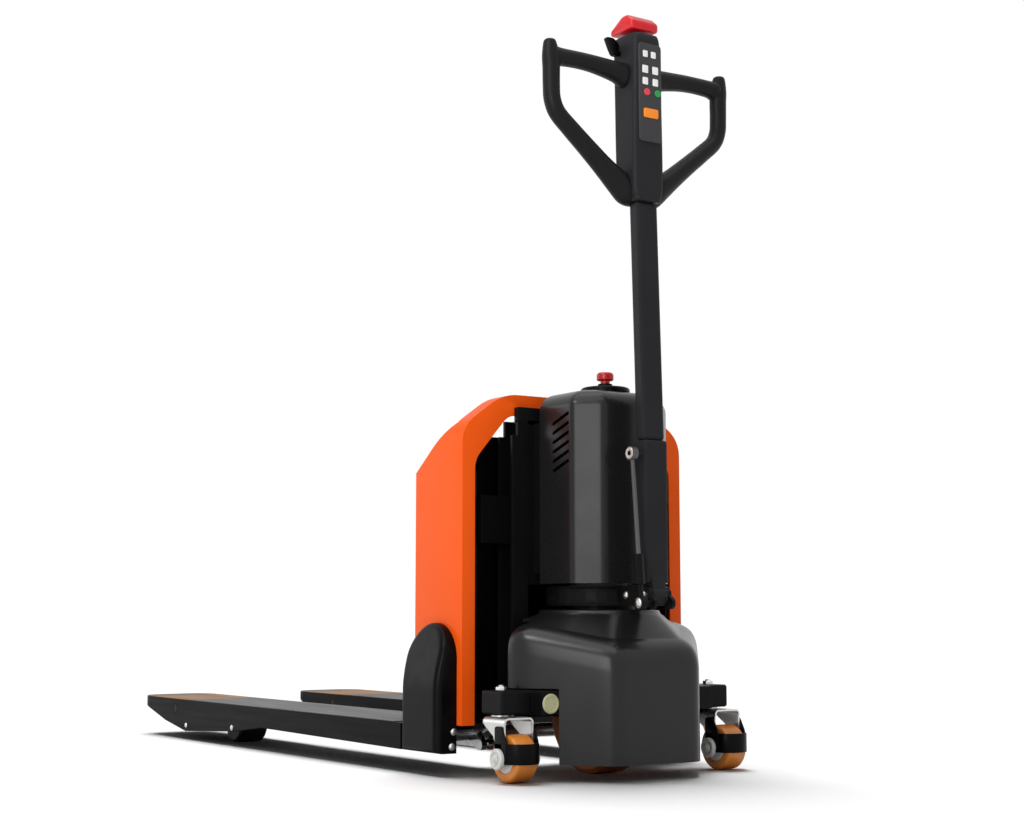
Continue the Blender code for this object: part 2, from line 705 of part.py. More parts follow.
def load_wheels():
    """Swinging arms with their axles, the rollers on them, and the rods that push the arms down."""
    axle = (ARM_PIVOT[0] - ARM_REACH, ROLLER_RADIUS)
    blade = link_outline(axle, ARM_RADIUS, ARM_PIVOT, ARM_RADIUS)
    lug = link_outline(ARM_CRANK_PIN, ROD_EYE_RADIUS, ARM_PIVOT, ARM_RADIUS - RUN_GAP)
    half = ROLLER_WIDTH / 2
    bore = AXLE_RADIUS + RUN_GAP
    tread = [(bore, half), (bore, -half), (ROLLER_RADIUS - ROLLER_EDGE, -half), (ROLLER_RADIUS, ROLLER_EDGE - half),
             (ROLLER_RADIUS, half - ROLLER_EDGE), (ROLLER_RADIUS - ROLLER_EDGE, half)]
    bar = [(SHAFT_CRANK_PIN[0], ROD_HALF), (SHAFT_CRANK_PIN[0], -ROD_HALF), (ARM_CRANK_PIN[0], -ROD_HALF),
           (ARM_CRANK_PIN[0], ROD_HALF)]
    bar = [(y, ARM_CRANK_PIN[1] + z) for y, z in bar]
    for name, side in SIDES:
        mid = side * FORK_MID
        arm = piece("load_arm_" + name, plate("X", blade, mid - ARM_OUT, mid - ARM_IN), BLACK_PAINT, (mid, *ARM_PIVOT))
        join(arm, plate("X", blade, mid + ARM_IN, mid + ARM_OUT))
        reach = ARM_OUT - RUN_GAP
        join(arm, round_bar("X", axle, AXLE_RADIUS, mid - reach, mid + reach))
        join(arm, round_bar("X", ARM_PIVOT, ARM_HUB_RADIUS, mid - reach, mid + reach))
        low, high = span(side, FORK_MID - ARM_OUT + RUN_GAP, FORK_MID - ARM_IN - RUN_GAP)
        join(arm, plate("X", lug, low, high))
        low, high = span(side, PIN_END, FORK_MID - ARM_OUT + ARM_PLATE / 2)
        join(arm, round_bar("X", ARM_CRANK_PIN, CRANK_PIN_RADIUS, low, high))
        cut(arm, round_bar("X", ARM_PIVOT, ARM_PIN_RADIUS + RUN_GAP, mid - FORK_WIDTH, mid + FORK_WIDTH))
        piece("load_roller_" + name, turned("X", axle, [(r, mid + x) for r, x in tread], SIDES_ROLLER),
              ORANGE_TYRE, (mid, *axle))
        low, high = span(side, ROD_X - ROD_WIDTH / 2, ROD_X + ROD_WIDTH / 2)
        rod = piece("push_rod_" + name, plate("X", bar, low, high), STEEL, (side * ROD_X, *ARM_CRANK_PIN))
        for eye in (SHAFT_CRANK_PIN, ARM_CRANK_PIN):
            join(rod, round_bar("X", eye, ROD_EYE_RADIUS, low + GAP, high - GAP))
        for eye in (SHAFT_CRANK_PIN, ARM_CRANK_PIN):
            cut(rod, round_bar("X", eye, CRANK_PIN_RADIUS + RUN_GAP, low - CUT_PAST, high + CUT_PAST))


def rocker_shaft():
    """Cross shaft with a bell crank at each fork: a pin for the push rod and a lever under the chassis foot."""
    reach = ARCH_HALF - FORK_PLATE - 2 * RUN_GAP
    shaft = piece("rocker_shaft", round_bar("X", SHAFT, SHAFT_RADIUS, -reach, reach), STEEL, (0.0, *SHAFT))
    for _, side in SIDES:
        low, high = span(side, CRANK_IN, CRANK_IN + CRANK_PLATE)
        join(shaft, plate("X", link_outline(LEVER_TIP, LEVER_RADIUS, SHAFT, LEVER_RADIUS), low, high))
        join(shaft, round_bar("X", LEVER_TIP, LEVER_TIP_RADIUS, low + GAP, high - GAP))
        join(shaft, plate("X", link_outline(SHAFT_CRANK_PIN, ROD_EYE_RADIUS, SHAFT, CRANK_RADIUS),
                          low + 2 * GAP, high - 2 * GAP))
        low, high = span(side, PIN_END, CRANK_IN + CRANK_PLATE / 2)
        join(shaft, round_bar("X", SHAFT_CRANK_PIN, CRANK_PIN_RADIUS, low, high))


def arch_frame():
    """Folded orange frame: two side panels with turned-in flanges, sloped shoulders and a top bar."""
    slope = Vector((ARCH_TOP - ARCH_SHOULDER, ARCH_HALF - ARCH_TOP_HALF)).normalized()
    low = CARRIAGE_FLOOR - CUT_PAST

    def skin(inset, floor):
        return [(ARCH_HALF - inset, floor), (ARCH_HALF - inset, ARCH_SHOULDER - inset * (1 - slope.x) / slope.y),
                (ARCH_TOP_HALF - inset * (1 - slope.y) / slope.x, ARCH_TOP - inset)]

    def closed(half):
        return half + [(-x, z) for x, z in reversed(half)]

    inside = ARCH_HALF - ARCH_FLANGE
    window = [(inside, low), (inside, ARCH_INNER_SHOULDER), (ARCH_INNER_TOP_HALF, ARCH_TOP - ARCH_BAR)]
    frame = piece("arch_frame", plate("Y", closed(skin(0.0, CARRIAGE_FLOOR)), ARCH_REAR, ARCH_FRONT), ORANGE_PAINT)
    cut(frame, plate("Y", closed(window), ARCH_REAR - CUT_PAST, ARCH_FRONT + CUT_PAST))
    cut(frame, plate("Y", closed(skin(ARCH_SHEET, low)), ARCH_REAR + ARCH_SHEET, ARCH_FRONT - ARCH_SHEET))
    bar_front = ARCH_REAR + ARCH_BAR_DEPTH
    past = ARCH_FRONT + CUT_PAST
    bar_z = ARCH_TOP - ARCH_BAR_DROP
    fall = (bar_z - ARCH_FRONT_HEIGHT) / (ARCH_FRONT - bar_front)
    chamfer = [(past, ARCH_FRONT_HEIGHT - fall * CUT_PAST), (past, ARCH_TOP + CUT_PAST),
               (bar_front, ARCH_TOP + CUT_PAST), (bar_front, bar_z)]
    cut(frame, plate("X", chamfer, -FORK_SPREAD, FORK_SPREAD))


def heel_guards():
    """Arched black guards on the outside of the panels, over the fork roots."""
    radius = GUARD_LENGTH / 2
    spring = GUARD_HEIGHT - radius
    outline = [(GUARD_REAR, GUARD_FLOOR), (GUARD_FRONT, GUARD_FLOOR)]
    outline += arc((GUARD_REAR + radius, spring), radius, 0, 180, 2 * ARC_STEPS)
    out = ARCH_HALF + GAP + GUARD_THICK
    lean = (GUARD_THICK - GUARD_TOP_THICK) / (GUARD_HEIGHT - GUARD_LEAN_FLOOR)
    over = GUARD_HEIGHT + CUT_PAST
    wedge = [(out, GUARD_LEAN_FLOOR), (out + CUT_PAST, GUARD_LEAN_FLOOR), (out + CUT_PAST, over),
             (out - lean * (over - GUARD_LEAN_FLOOR), over)]
    for name, side in SIDES:
        low, high = span(side, ARCH_HALF + GAP, out)
        guard = piece("heel_guard_" + name, plate("X", outline, low, high, GUARD_ROUND), BLACK_PLASTIC)
        cut(guard, plate("Y", [(side * x, z) for x, z in wedge], GUARD_REAR - CUT_PAST, GUARD_FRONT + CUT_PAST))


def carriage_frame():
    """Front plate, side plates and battery tray, welded as one behind the orange frame's flanges."""
    frame = piece("carriage_frame", box((-PLATE_HALF, PLATE_REAR, CARRIAGE_FLOOR), (PLATE_HALF, PLATE_FRONT, PLATE_TOP)),
                  BLACK_PAINT)
    weld = PLATE_REAR + PLATE_THICK / 2
    for _, side in SIDES:
        join(frame, side_box(side, SIDE_PLATE_OUT - SIDE_PLATE, SIDE_PLATE_OUT, SIDE_PLATE_REAR, weld,
                             CARRIAGE_FLOOR + GAP, PLATE_TOP - GAP))
    beam = SIDE_PLATE_OUT - SIDE_PLATE / 2
    join(frame, box((-beam, TRAY_REAR, TRAY_FLOOR), (beam, weld, TRAY_FLOOR + TRAY_PLATE)))


def battery():
    """Slim battery case on the carriage tray, with rounded upper corners."""
    bottom = TRAY_FLOOR + TRAY_PLATE + GAP
    centre = (BATTERY_HALF - BATTERY_ROUND, BATTERY_TOP - BATTERY_ROUND)
    half = [(BATTERY_HALF, bottom)] + arc(centre, BATTERY_ROUND, 0, 90)
    outline = half + [(-x, z) for x, z in reversed(half)]
    piece("battery", plate("Y", outline, TRAY_REAR + RUN_GAP, PLATE_REAR - GAP), BLACK_PLASTIC)


def slide_pads():
    """Nylon pads on the carriage side plates that run in the mast channels."""
    for name, side in SIDES:
        piece("slide_pad_" + name,
              side_box(side, MAST_INNER + MAST_WALL + SLIDE_GAP, SIDE_PLATE_OUT - SIDE_PLATE - GAP,
                       MAST_REAR + MAST_WALL + SLIDE_GAP, MAST_FRONT - MAST_WALL - SLIDE_GAP,
                       PAD_BOTTOM, PAD_BOTTOM + PAD_HEIGHT), NYLON)


def chassis_frame():
    """Deck plate with its cheeks, and the feet that hold the rocker levers down."""
    half = [(DECK_REAR_HALF, -DECK_REAR), (CHEEK_OUT, -DECK_SIDE_REAR), (CHEEK_OUT, CHASSIS_FRONT),
            (DECK_TAB_HALF, CHASSIS_FRONT), (DECK_TAB_HALF, DECK_TAB_FRONT)]
    outline = half + [(-x, y) for x, y in reversed(half)]
    deck = piece("chassis_frame", plate("Z", outline, DECK_TOP - DECK_PLATE, DECK_TOP), BLACK_PAINT)
    cut(deck, round_bar("Z", (0.0, 0.0), SLEW_RADIUS + GAP, 0.0, DECK_TOP + CUT_PAST, SIDES_WHEEL))
    foot_bottom = LEVER_TIP[1] + LEVER_TIP_RADIUS + FOOT_CLEAR
    for _, side in SIDES:
        join(deck, side_box(side, CHEEK_OUT - CHEEK_PLATE, CHEEK_OUT - GAP, GAP - CHEEK_REAR, CHASSIS_FRONT - GAP,
                            CHEEK_BOTTOM, DECK_TOP - 0.8 * DECK_PLATE))
        join(deck, side_box(side, CHEEK_OUT - CHEEK_PLATE / 2, FOOT_OUT, -FOOT_REAR, FOOT_FRONT, foot_bottom, FOOT_TOP))


def mast():
    """Two outward-facing channels, the plate between them for the power pack, and lips that hold the cover."""
    tie = piece("mast", box((-MAST_INNER - MAST_WALL / 2, MAST_REAR + GAP, TIE_BOTTOM),
                            (MAST_INNER + MAST_WALL / 2, MAST_REAR + MAST_WALL, MAST_TOP - GAP)), BLACK_PAINT)
    outer = MAST_INNER + MAST_WIDTH
    inner = MAST_INNER + MAST_WALL
    section = [(MAST_INNER, MAST_REAR), (outer, MAST_REAR), (outer, MAST_REAR + MAST_WALL),
               (inner, MAST_REAR + MAST_WALL), (inner, MAST_FRONT - MAST_WALL), (outer, MAST_FRONT - MAST_WALL),
               (outer, MAST_FRONT), (MAST_INNER, MAST_FRONT)]
    lip_out = COVER_HALF - COVER_WALL - GAP
    for _, side in SIDES:
        join(tie, plate("Z", [(side * x, y) for x, y in section], MAST_BOTTOM, MAST_TOP))
        join(tie, side_box(side, lip_out - LIP_PLATE, lip_out, -LIP_REAR, MAST_REAR + MAST_WALL / 2, LIP_BOTTOM, LIP_TOP))
        cut(tie, side_box(side, MAST_STEP_HALF, outer + CUT_PAST, MAST_REAR - CUT_PAST, MAST_FRONT + CUT_PAST,
                          MAST_SHOULDER, MAST_TOP + CUT_PAST))
    join(tie, box((-SHELF_HALF, MAST_REAR + 2 * GAP, TIE_BOTTOM + GAP),
                  (SHELF_HALF, SHELF_FRONT, TIE_BOTTOM + SHELF_PLATE)))


def lift_cylinder():
    """Barrel standing on the mast's shelf, and the ram in it that pushes up under the top bar of the orange frame."""
    centre = (0.0, CYLINDER_Y)
    bottom = TIE_BOTTOM + SHELF_PLATE + GAP
    barrel = piece("lift_cylinder", round_bar("Z", centre, CYLINDER_RADIUS, bottom, CYLINDER_TOP, SIDES_ROLLER),
                   MOTOR_GREY)
    cut(barrel, round_bar("Z", centre, RAM_RADIUS + RUN_GAP, bottom + CYLINDER_BASE, CYLINDER_TOP + CUT_PAST,
                          SIDES_ROLLER))
    piece("lift_ram", round_bar("Z", centre, RAM_RADIUS, RAM_BOTTOM, ARCH_TOP - ARCH_SHEET - GAP, SIDES_ROLLER), STEEL)


def power_pack():
    """Hydraulic pump motor and motor controller on the mast plate, under the upper cover."""
    front = CHASSIS_FRONT
    piece("pump_motor", round_bar("Y", (PUMP_X, PUMP_Z), PUMP_RADIUS, front - PUMP_LENGTH, front, SIDES_ROLLER),
          MOTOR_GREY)
    piece("motor_controller", box((CONTROLLER_IN, front - CONTROLLER_DEPTH, CONTROLLER_BOTTOM),
                                  (CONTROLLER_IN + CONTROLLER_WIDTH, front, CONTROLLER_BOTTOM + CONTROLLER_HEIGHT),
                                  CONTROLLER_ROUND), MOTOR_GREY)


def shell(rings_out, rings_in, closed):
    """Wall between matching stacks of rings; the last rings are capped if closed, or joined as a rim if open."""
    work = bmesh.new()
    outside = [[work.verts.new(p) for p in ring] for ring in rings_out]
    inside = [[work.verts.new(p) for p in ring] for ring in rings_in]

    def band(lower, upper):
        count = len(lower)
        for i in range(count):
            j = (i + 1) % count
            work.faces.new((lower[i], lower[j], upper[j], upper[i]))

    for stack in (outside, inside):
        for lower, upper in zip(stack, stack[1:]):
            band(lower, upper)
    band(inside[0], outside[0])
    if closed:
        work.faces.new(outside[-1])
        work.faces.new(inside[-1])
    else:
        band(outside[-1], inside[-1])
    bmesh.ops.recalc_face_normals(work, faces=work.faces)
    mesh = bpy.data.meshes.new("shell")
    work.to_mesh(mesh)
    work.free()
    return mesh


def rounded_polygon(planes, inset, power):
    """Points about the steering axis on a polygon of (facing, distance) sides, its corners blended by a p-norm."""
    points = []
    for step in range(SIDES_SHELL):
        angle = 2 * math.pi * (step + 0.5) / SIDES_SHELL
        total = sum((max(math.cos(angle - facing), 0.0) / (distance - inset)) ** power
                    for facing, distance in planes)
        radius = total ** (-1.0 / power)
        points.append((radius * math.cos(angle), radius * math.sin(angle)))
    return points


def nose_planes(rear, rear_half, half, corner, front):
    """Sides of a nose-shaped plan: rear, two slanted flanks, two straight sides and front."""
    run = Vector((half - rear_half, rear - corner)).normalized()
    facing = math.atan2(-run.x, run.y)
    reach = rear_half * math.cos(facing) - rear * math.sin(facing)
    return [(-math.pi / 2, rear), (facing, reach), (math.pi - facing, reach), (0.0, half), (math.pi, half),
            (math.pi / 2, front)]


def lower_skirt():
    """Shell over the drive unit: a nose-shaped wall, a shoulder that dips to the rear and a round neck."""
    planes = nose_planes(SKIRT_REAR, SKIRT_REAR_HALF, SKIRT_HALF, SKIRT_CORNER, SKIRT_HALF)
    steps = ((0.0, -0.014), (0.0035, -0.004), (0.010, 0.004), (0.022, 0.011))

    def rim(y):
        share = min(max((y + SKIRT_REAR) / (SKIRT_REAR - SKIRT_CORNER), 0.0), 1.0)
        return SKIRT_RIM_REAR + (SKIRT_RIM_SIDE - SKIRT_RIM_REAR) * share

    def ring(inset, rise, drop):
        return [(x, y, rim(y) + rise - drop) for x, y in rounded_polygon(planes, inset, SKIRT_CRISP)]

    def neck(radius, top):
        angles = [2 * math.pi * (step + 0.5) / SIDES_SHELL for step in range(SIDES_SHELL)]
        return [(radius * math.cos(a), radius * math.sin(a), top) for a in angles]

    def foot(inset):
        return [(x, y, SKIRT_FLOOR) for x, y in rounded_polygon(planes, inset, SKIRT_CRISP)]

    hole = SKIRT_NECK_RADIUS / math.cos(math.pi / SIDES_SHELL)
    outer = [foot(0.0)] + [ring(inset, rise, 0.0) for inset, rise in steps]
    outer += [neck(hole + 2 * SKIRT_WALL, SKIRT_NECK_TOP - SKIRT_WALL), neck(hole + SKIRT_WALL, SKIRT_NECK_TOP),
              neck(hole, SKIRT_NECK_TOP)]
    inner = [foot(SKIRT_WALL)] + [ring(inset + SKIRT_WALL, rise, SKIRT_WALL) for inset, rise in steps]
    inner += [neck(hole + SKIRT_WALL, SKIRT_NECK_TOP - 2 * SKIRT_WALL), neck(hole, SKIRT_NECK_TOP - SKIRT_WALL)]
    skirt = piece("lower_skirt", shell(outer, inner, False), SKIRT_PLASTIC)
    wide = SKIRT_HALF + CUT_PAST
    for _, side in SIDES:
        cut(skirt, round_bar("Z", (side * CASTER_X, CASTER_Y), CASTER_SWEEP + 8 * RUN_GAP, -CUT_PAST,
                             CASTER_ARM_BOTTOM - 8 * RUN_GAP, SIDES_WHEEL))
        cut(skirt, side_box(side, CHEEK_OUT - CHEEK_PLATE - RUN_GAP, wide, -CASTER_ARM_REAR - ARM_NOTCH,
                            SKIRT_FRONT, CHEEK_BOTTOM - CUT_PAST / 2, CASTER_ARM_TOP + ARM_NOTCH + RUN_GAP * 2))
        cut(skirt, side_box(side, CHEEK_OUT - SKIRT_SIDE_IN, wide, -SKIRT_SIDE_FRONT, SKIRT_FRONT + CUT_PAST, -CUT_PAST,
                            SKIRT_NECK_TOP + CUT_PAST))
    cut(skirt, box((-wide, SKIRT_FRONT, -CUT_PAST), (wide, SKIRT_HALF + CUT_PAST, SKIRT_NECK_TOP + CUT_PAST)))


def upper_cover():
    """Tall nose-shaped cover over the traction motor, open to the mast, with slanted louvres at each side."""
    planes = nose_planes(COVER_REAR, COVER_REAR_HALF, COVER_HALF, COVER_CORNER, COVER_HALF)
    bends = [(COVER_ROUND * (1 - math.cos(a)), COVER_ROUND * (math.sin(a) - 1))
             for a in (0.0, math.radians(35), math.radians(65), math.radians(90))]

    def ring(inset, z):
        return [(x, y, z) for x, y in rounded_polygon(planes, inset, COVER_CRISP)]

    outer = [ring(0.0, COVER_BOTTOM)] + [ring(inset, COVER_TOP + drop) for inset, drop in bends]
    inner = [ring(COVER_WALL, COVER_BOTTOM)]
    inner += [ring(inset + COVER_WALL, COVER_TOP + drop - COVER_WALL) for inset, drop in bends]
    cover = piece("upper_cover", shell(outer, inner, True), BLACK_PLASTIC)
    wide = COVER_HALF + CUT_PAST
    cut(cover, box((-wide, COVER_FRONT, COVER_BOTTOM - CUT_PAST), (wide, wide, COVER_TOP + CUT_PAST)))
    half = LOUVRE_LENGTH / 2
    lean = Vector((-math.cos(LOUVRE_SLANT), math.sin(LOUVRE_SLANT)))
    for step in range(LOUVRE_COUNT):
        middle = Vector((LOUVRE_Y, LOUVRE_TOP - LOUVRE_PITCH * step))
        slot = link_outline(middle - lean * half, LOUVRE_HEIGHT / 2, middle + lean * half, LOUVRE_HEIGHT / 2)
        for _, side in SIDES:
            low, high = span(side, COVER_HALF - 3 * COVER_WALL, COVER_HALF + CUT_PAST)
            cut(cover, plate("X", slot[::2], low, high))


def emergency_stop():
    """Round cap on the cover, a collar on it and the red mushroom button that presses down."""
    centre = (0.0, CAP_Y)
    floor = COVER_TOP + GAP
    cap_top = floor + CAP_THICK
    collar_top = cap_top + GAP + STOP_COLLAR
    bore = STOP_STEM_RADIUS + RUN_GAP
    cap = [(bore, cap_top), (bore, floor), (CAP_RADIUS, floor), (CAP_RADIUS, cap_top - CAP_LIP),
           (CAP_RADIUS - CAP_LIP, cap_top)]
    piece("cover_cap", turned("Z", centre, cap, SIDES_WHEEL), BLACK_PLASTIC)
    collar = [(bore, collar_top), (bore, cap_top + GAP), (STOP_COLLAR_RADIUS, cap_top + GAP),
              (STOP_COLLAR_RADIUS, collar_top)]
    piece("stop_collar", turned("Z", centre, collar, SIDES_PIN), BLACK_PLASTIC)
    under = collar_top + STOP_TRAVEL + RUN_GAP
    crown = under + STOP_HEIGHT
    stem_end = floor + STOP_TRAVEL + RUN_GAP
    profile = [(0.0, crown), (0.0, stem_end), (STOP_STEM_RADIUS, stem_end), (STOP_STEM_RADIUS, under),
               (STOP_RADIUS * 0.86, under), (STOP_RADIUS, under + STOP_HEIGHT * 0.3),
               (STOP_RADIUS, under + STOP_HEIGHT * 0.62), (STOP_RADIUS * 0.80, crown - STOP_HEIGHT * 0.08)]
    piece("stop_button", turned("Z", centre, profile, SIDES_ROLLER), RED_PLASTIC, (0.0, CAP_Y, crown))


def drive_unit():
    """Neck ring with the slewing bearing, steering head with its yoke, gearbox, motor and the drive wheel."""
    neck_out = SKIRT_NECK_RADIUS - 2 * GAP
    flange = DECK_TOP + GAP
    bore = STEER_SHAFT_RADIUS + RUN_GAP
    ring = [(neck_out, NECK_TOP), (neck_out - NECK_WALL, NECK_TOP), (neck_out - NECK_WALL, flange + NECK_FLANGE),
            (bore, flange + NECK_FLANGE), (bore, DECK_TOP - DECK_PLATE), (SLEW_RADIUS, DECK_TOP - DECK_PLATE),
            (SLEW_RADIUS, flange), (neck_out, flange)]
    neck = piece("neck_ring", turned("Z", (0.0, 0.0), ring, SIDES_WHEEL), BLACK_PAINT)
    wide = SKIRT_HALF
    cut(neck, box((-wide, CHASSIS_FRONT, flange), (wide, wide, NECK_TOP + CUT_PAST)))
    head = piece("steer_head", round_bar("Z", (0.0, 0.0), STEER_DISC_RADIUS, STEER_DISC_BOTTOM, STEER_DISC_TOP,
                                         SIDES_WHEEL), BLACK_PAINT)
    join(head, round_bar("Z", (0.0, 0.0), STEER_SHAFT_RADIUS, STEER_SHAFT_BOTTOM,
                         (STEER_DISC_BOTTOM + STEER_DISC_TOP) / 2, SIDES_WHEEL))
    join(head, box((-YOKE_OUT, -YOKE_REAR, YOKE_FLOOR), (YOKE_OUT, -STEER_DISC_RADIUS / 2, STEER_DISC_TOP - GAP)))
    tiller = (TILLER_Y, TILLER_Z)
    stud = (SPRING_STUD_Y, SPRING_STUD_Z)
    root_radius = (STEER_DISC_TOP - YOKE_FLOOR) / 2 - 2 * GAP
    root = (EAR_RADIUS - YOKE_REAR, YOKE_FLOOR + GAP + root_radius)
    for _, side in SIDES:
        low, high = span(side, YOKE_IN, YOKE_OUT - GAP)
        join(head, plate("X", link_outline(tiller, EAR_RADIUS, root, root_radius), low, high))
        low, high = span(side, YOKE_IN + GAP, YOKE_OUT - 2 * GAP)
        join(head, plate("X", link_outline(stud, LOBE_RADIUS, tiller, LOBE_RADIUS), low, high))
    cut(head, round_bar("X", tiller, TILLER_PIN_RADIUS + GAP, -YOKE_OUT - CUT_PAST, YOKE_OUT + CUT_PAST))
    join(head, round_bar("X", stud, SPRING_STUD_RADIUS, SPRING_X - SPRING_EYE_WIDTH / 2 - 4 * RUN_GAP,
                         -YOKE_IN - EAR_PLATE / 2))
    piece("tiller_pin", round_bar("X", tiller, TILLER_PIN_RADIUS, 4 * RUN_GAP - YOKE_OUT, TILLER_PIN_HALF), STEEL)

    inner = DRIVE_WIDTH / 2 + GEARBOX_GAP
    top = STEER_SHAFT_BOTTOM - GAP
    gearbox = piece("drive_gearbox", round_bar("Z", (0.0, 0.0), GEARBOX_FLANGE_RADIUS, top - GEARBOX_FLANGE, top,
                                               SIDES_WHEEL), MOTOR_GREY)
    join(gearbox, box((inner, -GEARBOX_HALF, GEARBOX_BOTTOM), (inner + GEARBOX_WIDTH, GEARBOX_HALF, top - RUN_GAP),
                      GEARBOX_ROUND))
    piece("traction_motor", round_bar("Z", (0.0, 0.0), MOTOR_RADIUS, STEER_DISC_TOP + GAP, MOTOR_TOP, SIDES_WHEEL),
          MOTOR_GREY)

    centre = (0.0, DRIVE_RADIUS)
    half = DRIVE_WIDTH / 2
    hub = DRIVE_HUB_WIDTH / 2
    seat = DRIVE_HUB_RADIUS + GAP
    profile = [(0.0, inner - 2 * GAP), (0.0, -hub), (DRIVE_HUB_RADIUS, -hub), (DRIVE_HUB_RADIUS, hub),
               (DRIVE_AXLE_RADIUS, hub), (DRIVE_AXLE_RADIUS, inner - 2 * GAP)]
    piece("drive_hub", turned("X", centre, profile, SIDES_WHEEL), MOTOR_GREY, (0.0, *centre))
    tread = [(seat, half), (seat, -half), (DRIVE_RADIUS - DRIVE_EDGE, -half), (DRIVE_RADIUS, DRIVE_EDGE - half),
             (DRIVE_RADIUS, half - DRIVE_EDGE), (DRIVE_RADIUS - DRIVE_EDGE, half)]
    piece("drive_tyre", turned("X", centre, tread, SIDES_WHEEL), ORANGE_TYRE, (0.0, *centre))


def casters():
    """Side arms, and under each a swivelling zinc fork, its black guard band and an orange wheel."""
    wheel_y = CASTER_Y - CASTER_TRAIL
    axle = (wheel_y, CASTER_RADIUS)
    leg_out = CASTER_LEG_IN + CASTER_LEG
    crown_front = CASTER_Y + CASTER_LEG_REACH
    leg_front = wheel_y + CASTER_LEG_REACH
    leg_rear = wheel_y - CASTER_LEG_REACH
    under = CASTER_CROWN_TOP - CASTER_CROWN
    foot = CASTER_RADIUS - CASTER_LEG_REACH
    hoop = [(leg_out, foot), (leg_out, CASTER_CROWN_TOP), (-leg_out, CASTER_CROWN_TOP), (-leg_out, foot),
            (-CASTER_LEG_IN, foot), (-CASTER_LEG_IN, under), (CASTER_LEG_IN, under), (CASTER_LEG_IN, foot)]
    band_in = leg_out + GAP
    band_out = band_in + BAND_THICK
    band_rear = wheel_y - CASTER_RADIUS - BAND_CLEAR
    outer = [(band_out, leg_front)] + arc((band_out - BAND_BEND, band_rear - BAND_THICK + BAND_BEND), BAND_BEND, 0, -90, 3)
    inside = BAND_BEND - BAND_THICK
    inner = [(band_in, leg_front)] + arc((band_in - inside, band_rear + inside), inside, 0, -90, 3)
    band = outer + [(-x, y) for x, y in reversed(outer)] + [(-x, y) for x, y in inner] + list(reversed(inner))
    rim = CASTER_WIDTH / 2
    bore = CASTER_AXLE_RADIUS + GAP
    tread = [(bore, rim), (bore, -rim), (CASTER_RADIUS - CASTER_EDGE, -rim), (CASTER_RADIUS, CASTER_EDGE - rim),
             (CASTER_RADIUS, rim - CASTER_EDGE), (CASTER_RADIUS - CASTER_EDGE, rim)]
    for name, side in SIDES:
        mid = side * CASTER_X
        swivel = (mid, CASTER_Y, CASTER_CROWN_TOP)
        arm = piece("caster_arm_" + name, side_box(side, CASTER_BOSS_IN, CASTER_ARM_OUT, CASTER_Y - CASTER_BOSS_HALF,
                                                   CASTER_Y + CASTER_BOSS_HALF, CASTER_ARM_BOTTOM, CASTER_ARM_TOP,
                                                   CASTER_ARM_ROUND), BLACK_PAINT)
        join(arm, side_box(side, CHEEK_OUT + GAP, CASTER_BOSS_IN + CASTER_LINK_LAP, -CASTER_ARM_REAR, -CASTER_ARM_FRONT,
                           CASTER_ARM_BOTTOM + GAP, CASTER_ARM_TOP - GAP))
        cut(arm, round_bar("Z", (mid, CASTER_Y), CASTER_STEM_RADIUS + RUN_GAP, CASTER_ARM_BOTTOM - CUT_PAST,
                           CASTER_ARM_TOP + CUT_PAST))
        fork = piece("caster_fork_" + name, plate("Y", [(mid + x, z) for x, z in hoop], leg_rear, crown_front), ZINC, swivel)
        cut(fork, box((mid - leg_out - CUT_PAST, leg_front, foot - CUT_PAST),
                      (mid + leg_out + CUT_PAST, crown_front + CUT_PAST, under - CASTER_GUSSET)))
        join(fork, round_bar("Z", (mid, CASTER_Y), CASTER_STEM_RADIUS, CASTER_CROWN_TOP - CASTER_CROWN / 2,
                             CASTER_ARM_TOP + CASTER_STEM_PROUD))
        join(fork, round_bar("X", axle, CASTER_AXLE_RADIUS, mid - leg_out + GAP, mid + leg_out - GAP))
        guard = piece("caster_band_" + name, plate("Z", [(mid + x, y) for x, y in band], BAND_BOTTOM, BAND_TOP),
                      BLACK_PLASTIC, swivel)
        for hand in (-1, 1):
            low, high = span(hand, band_in, band_out - GAP)
            join(guard, box((mid + low, leg_rear, BAND_BOTTOM + GAP), (mid + high, leg_front - GAP, BAND_CHEEK_TOP)))
        piece("caster_wheel_" + name, turned("X", axle, [(r, mid + x) for r, x in tread], SIDES_ROLLER), ORANGE_TYRE,
              (mid, *axle))


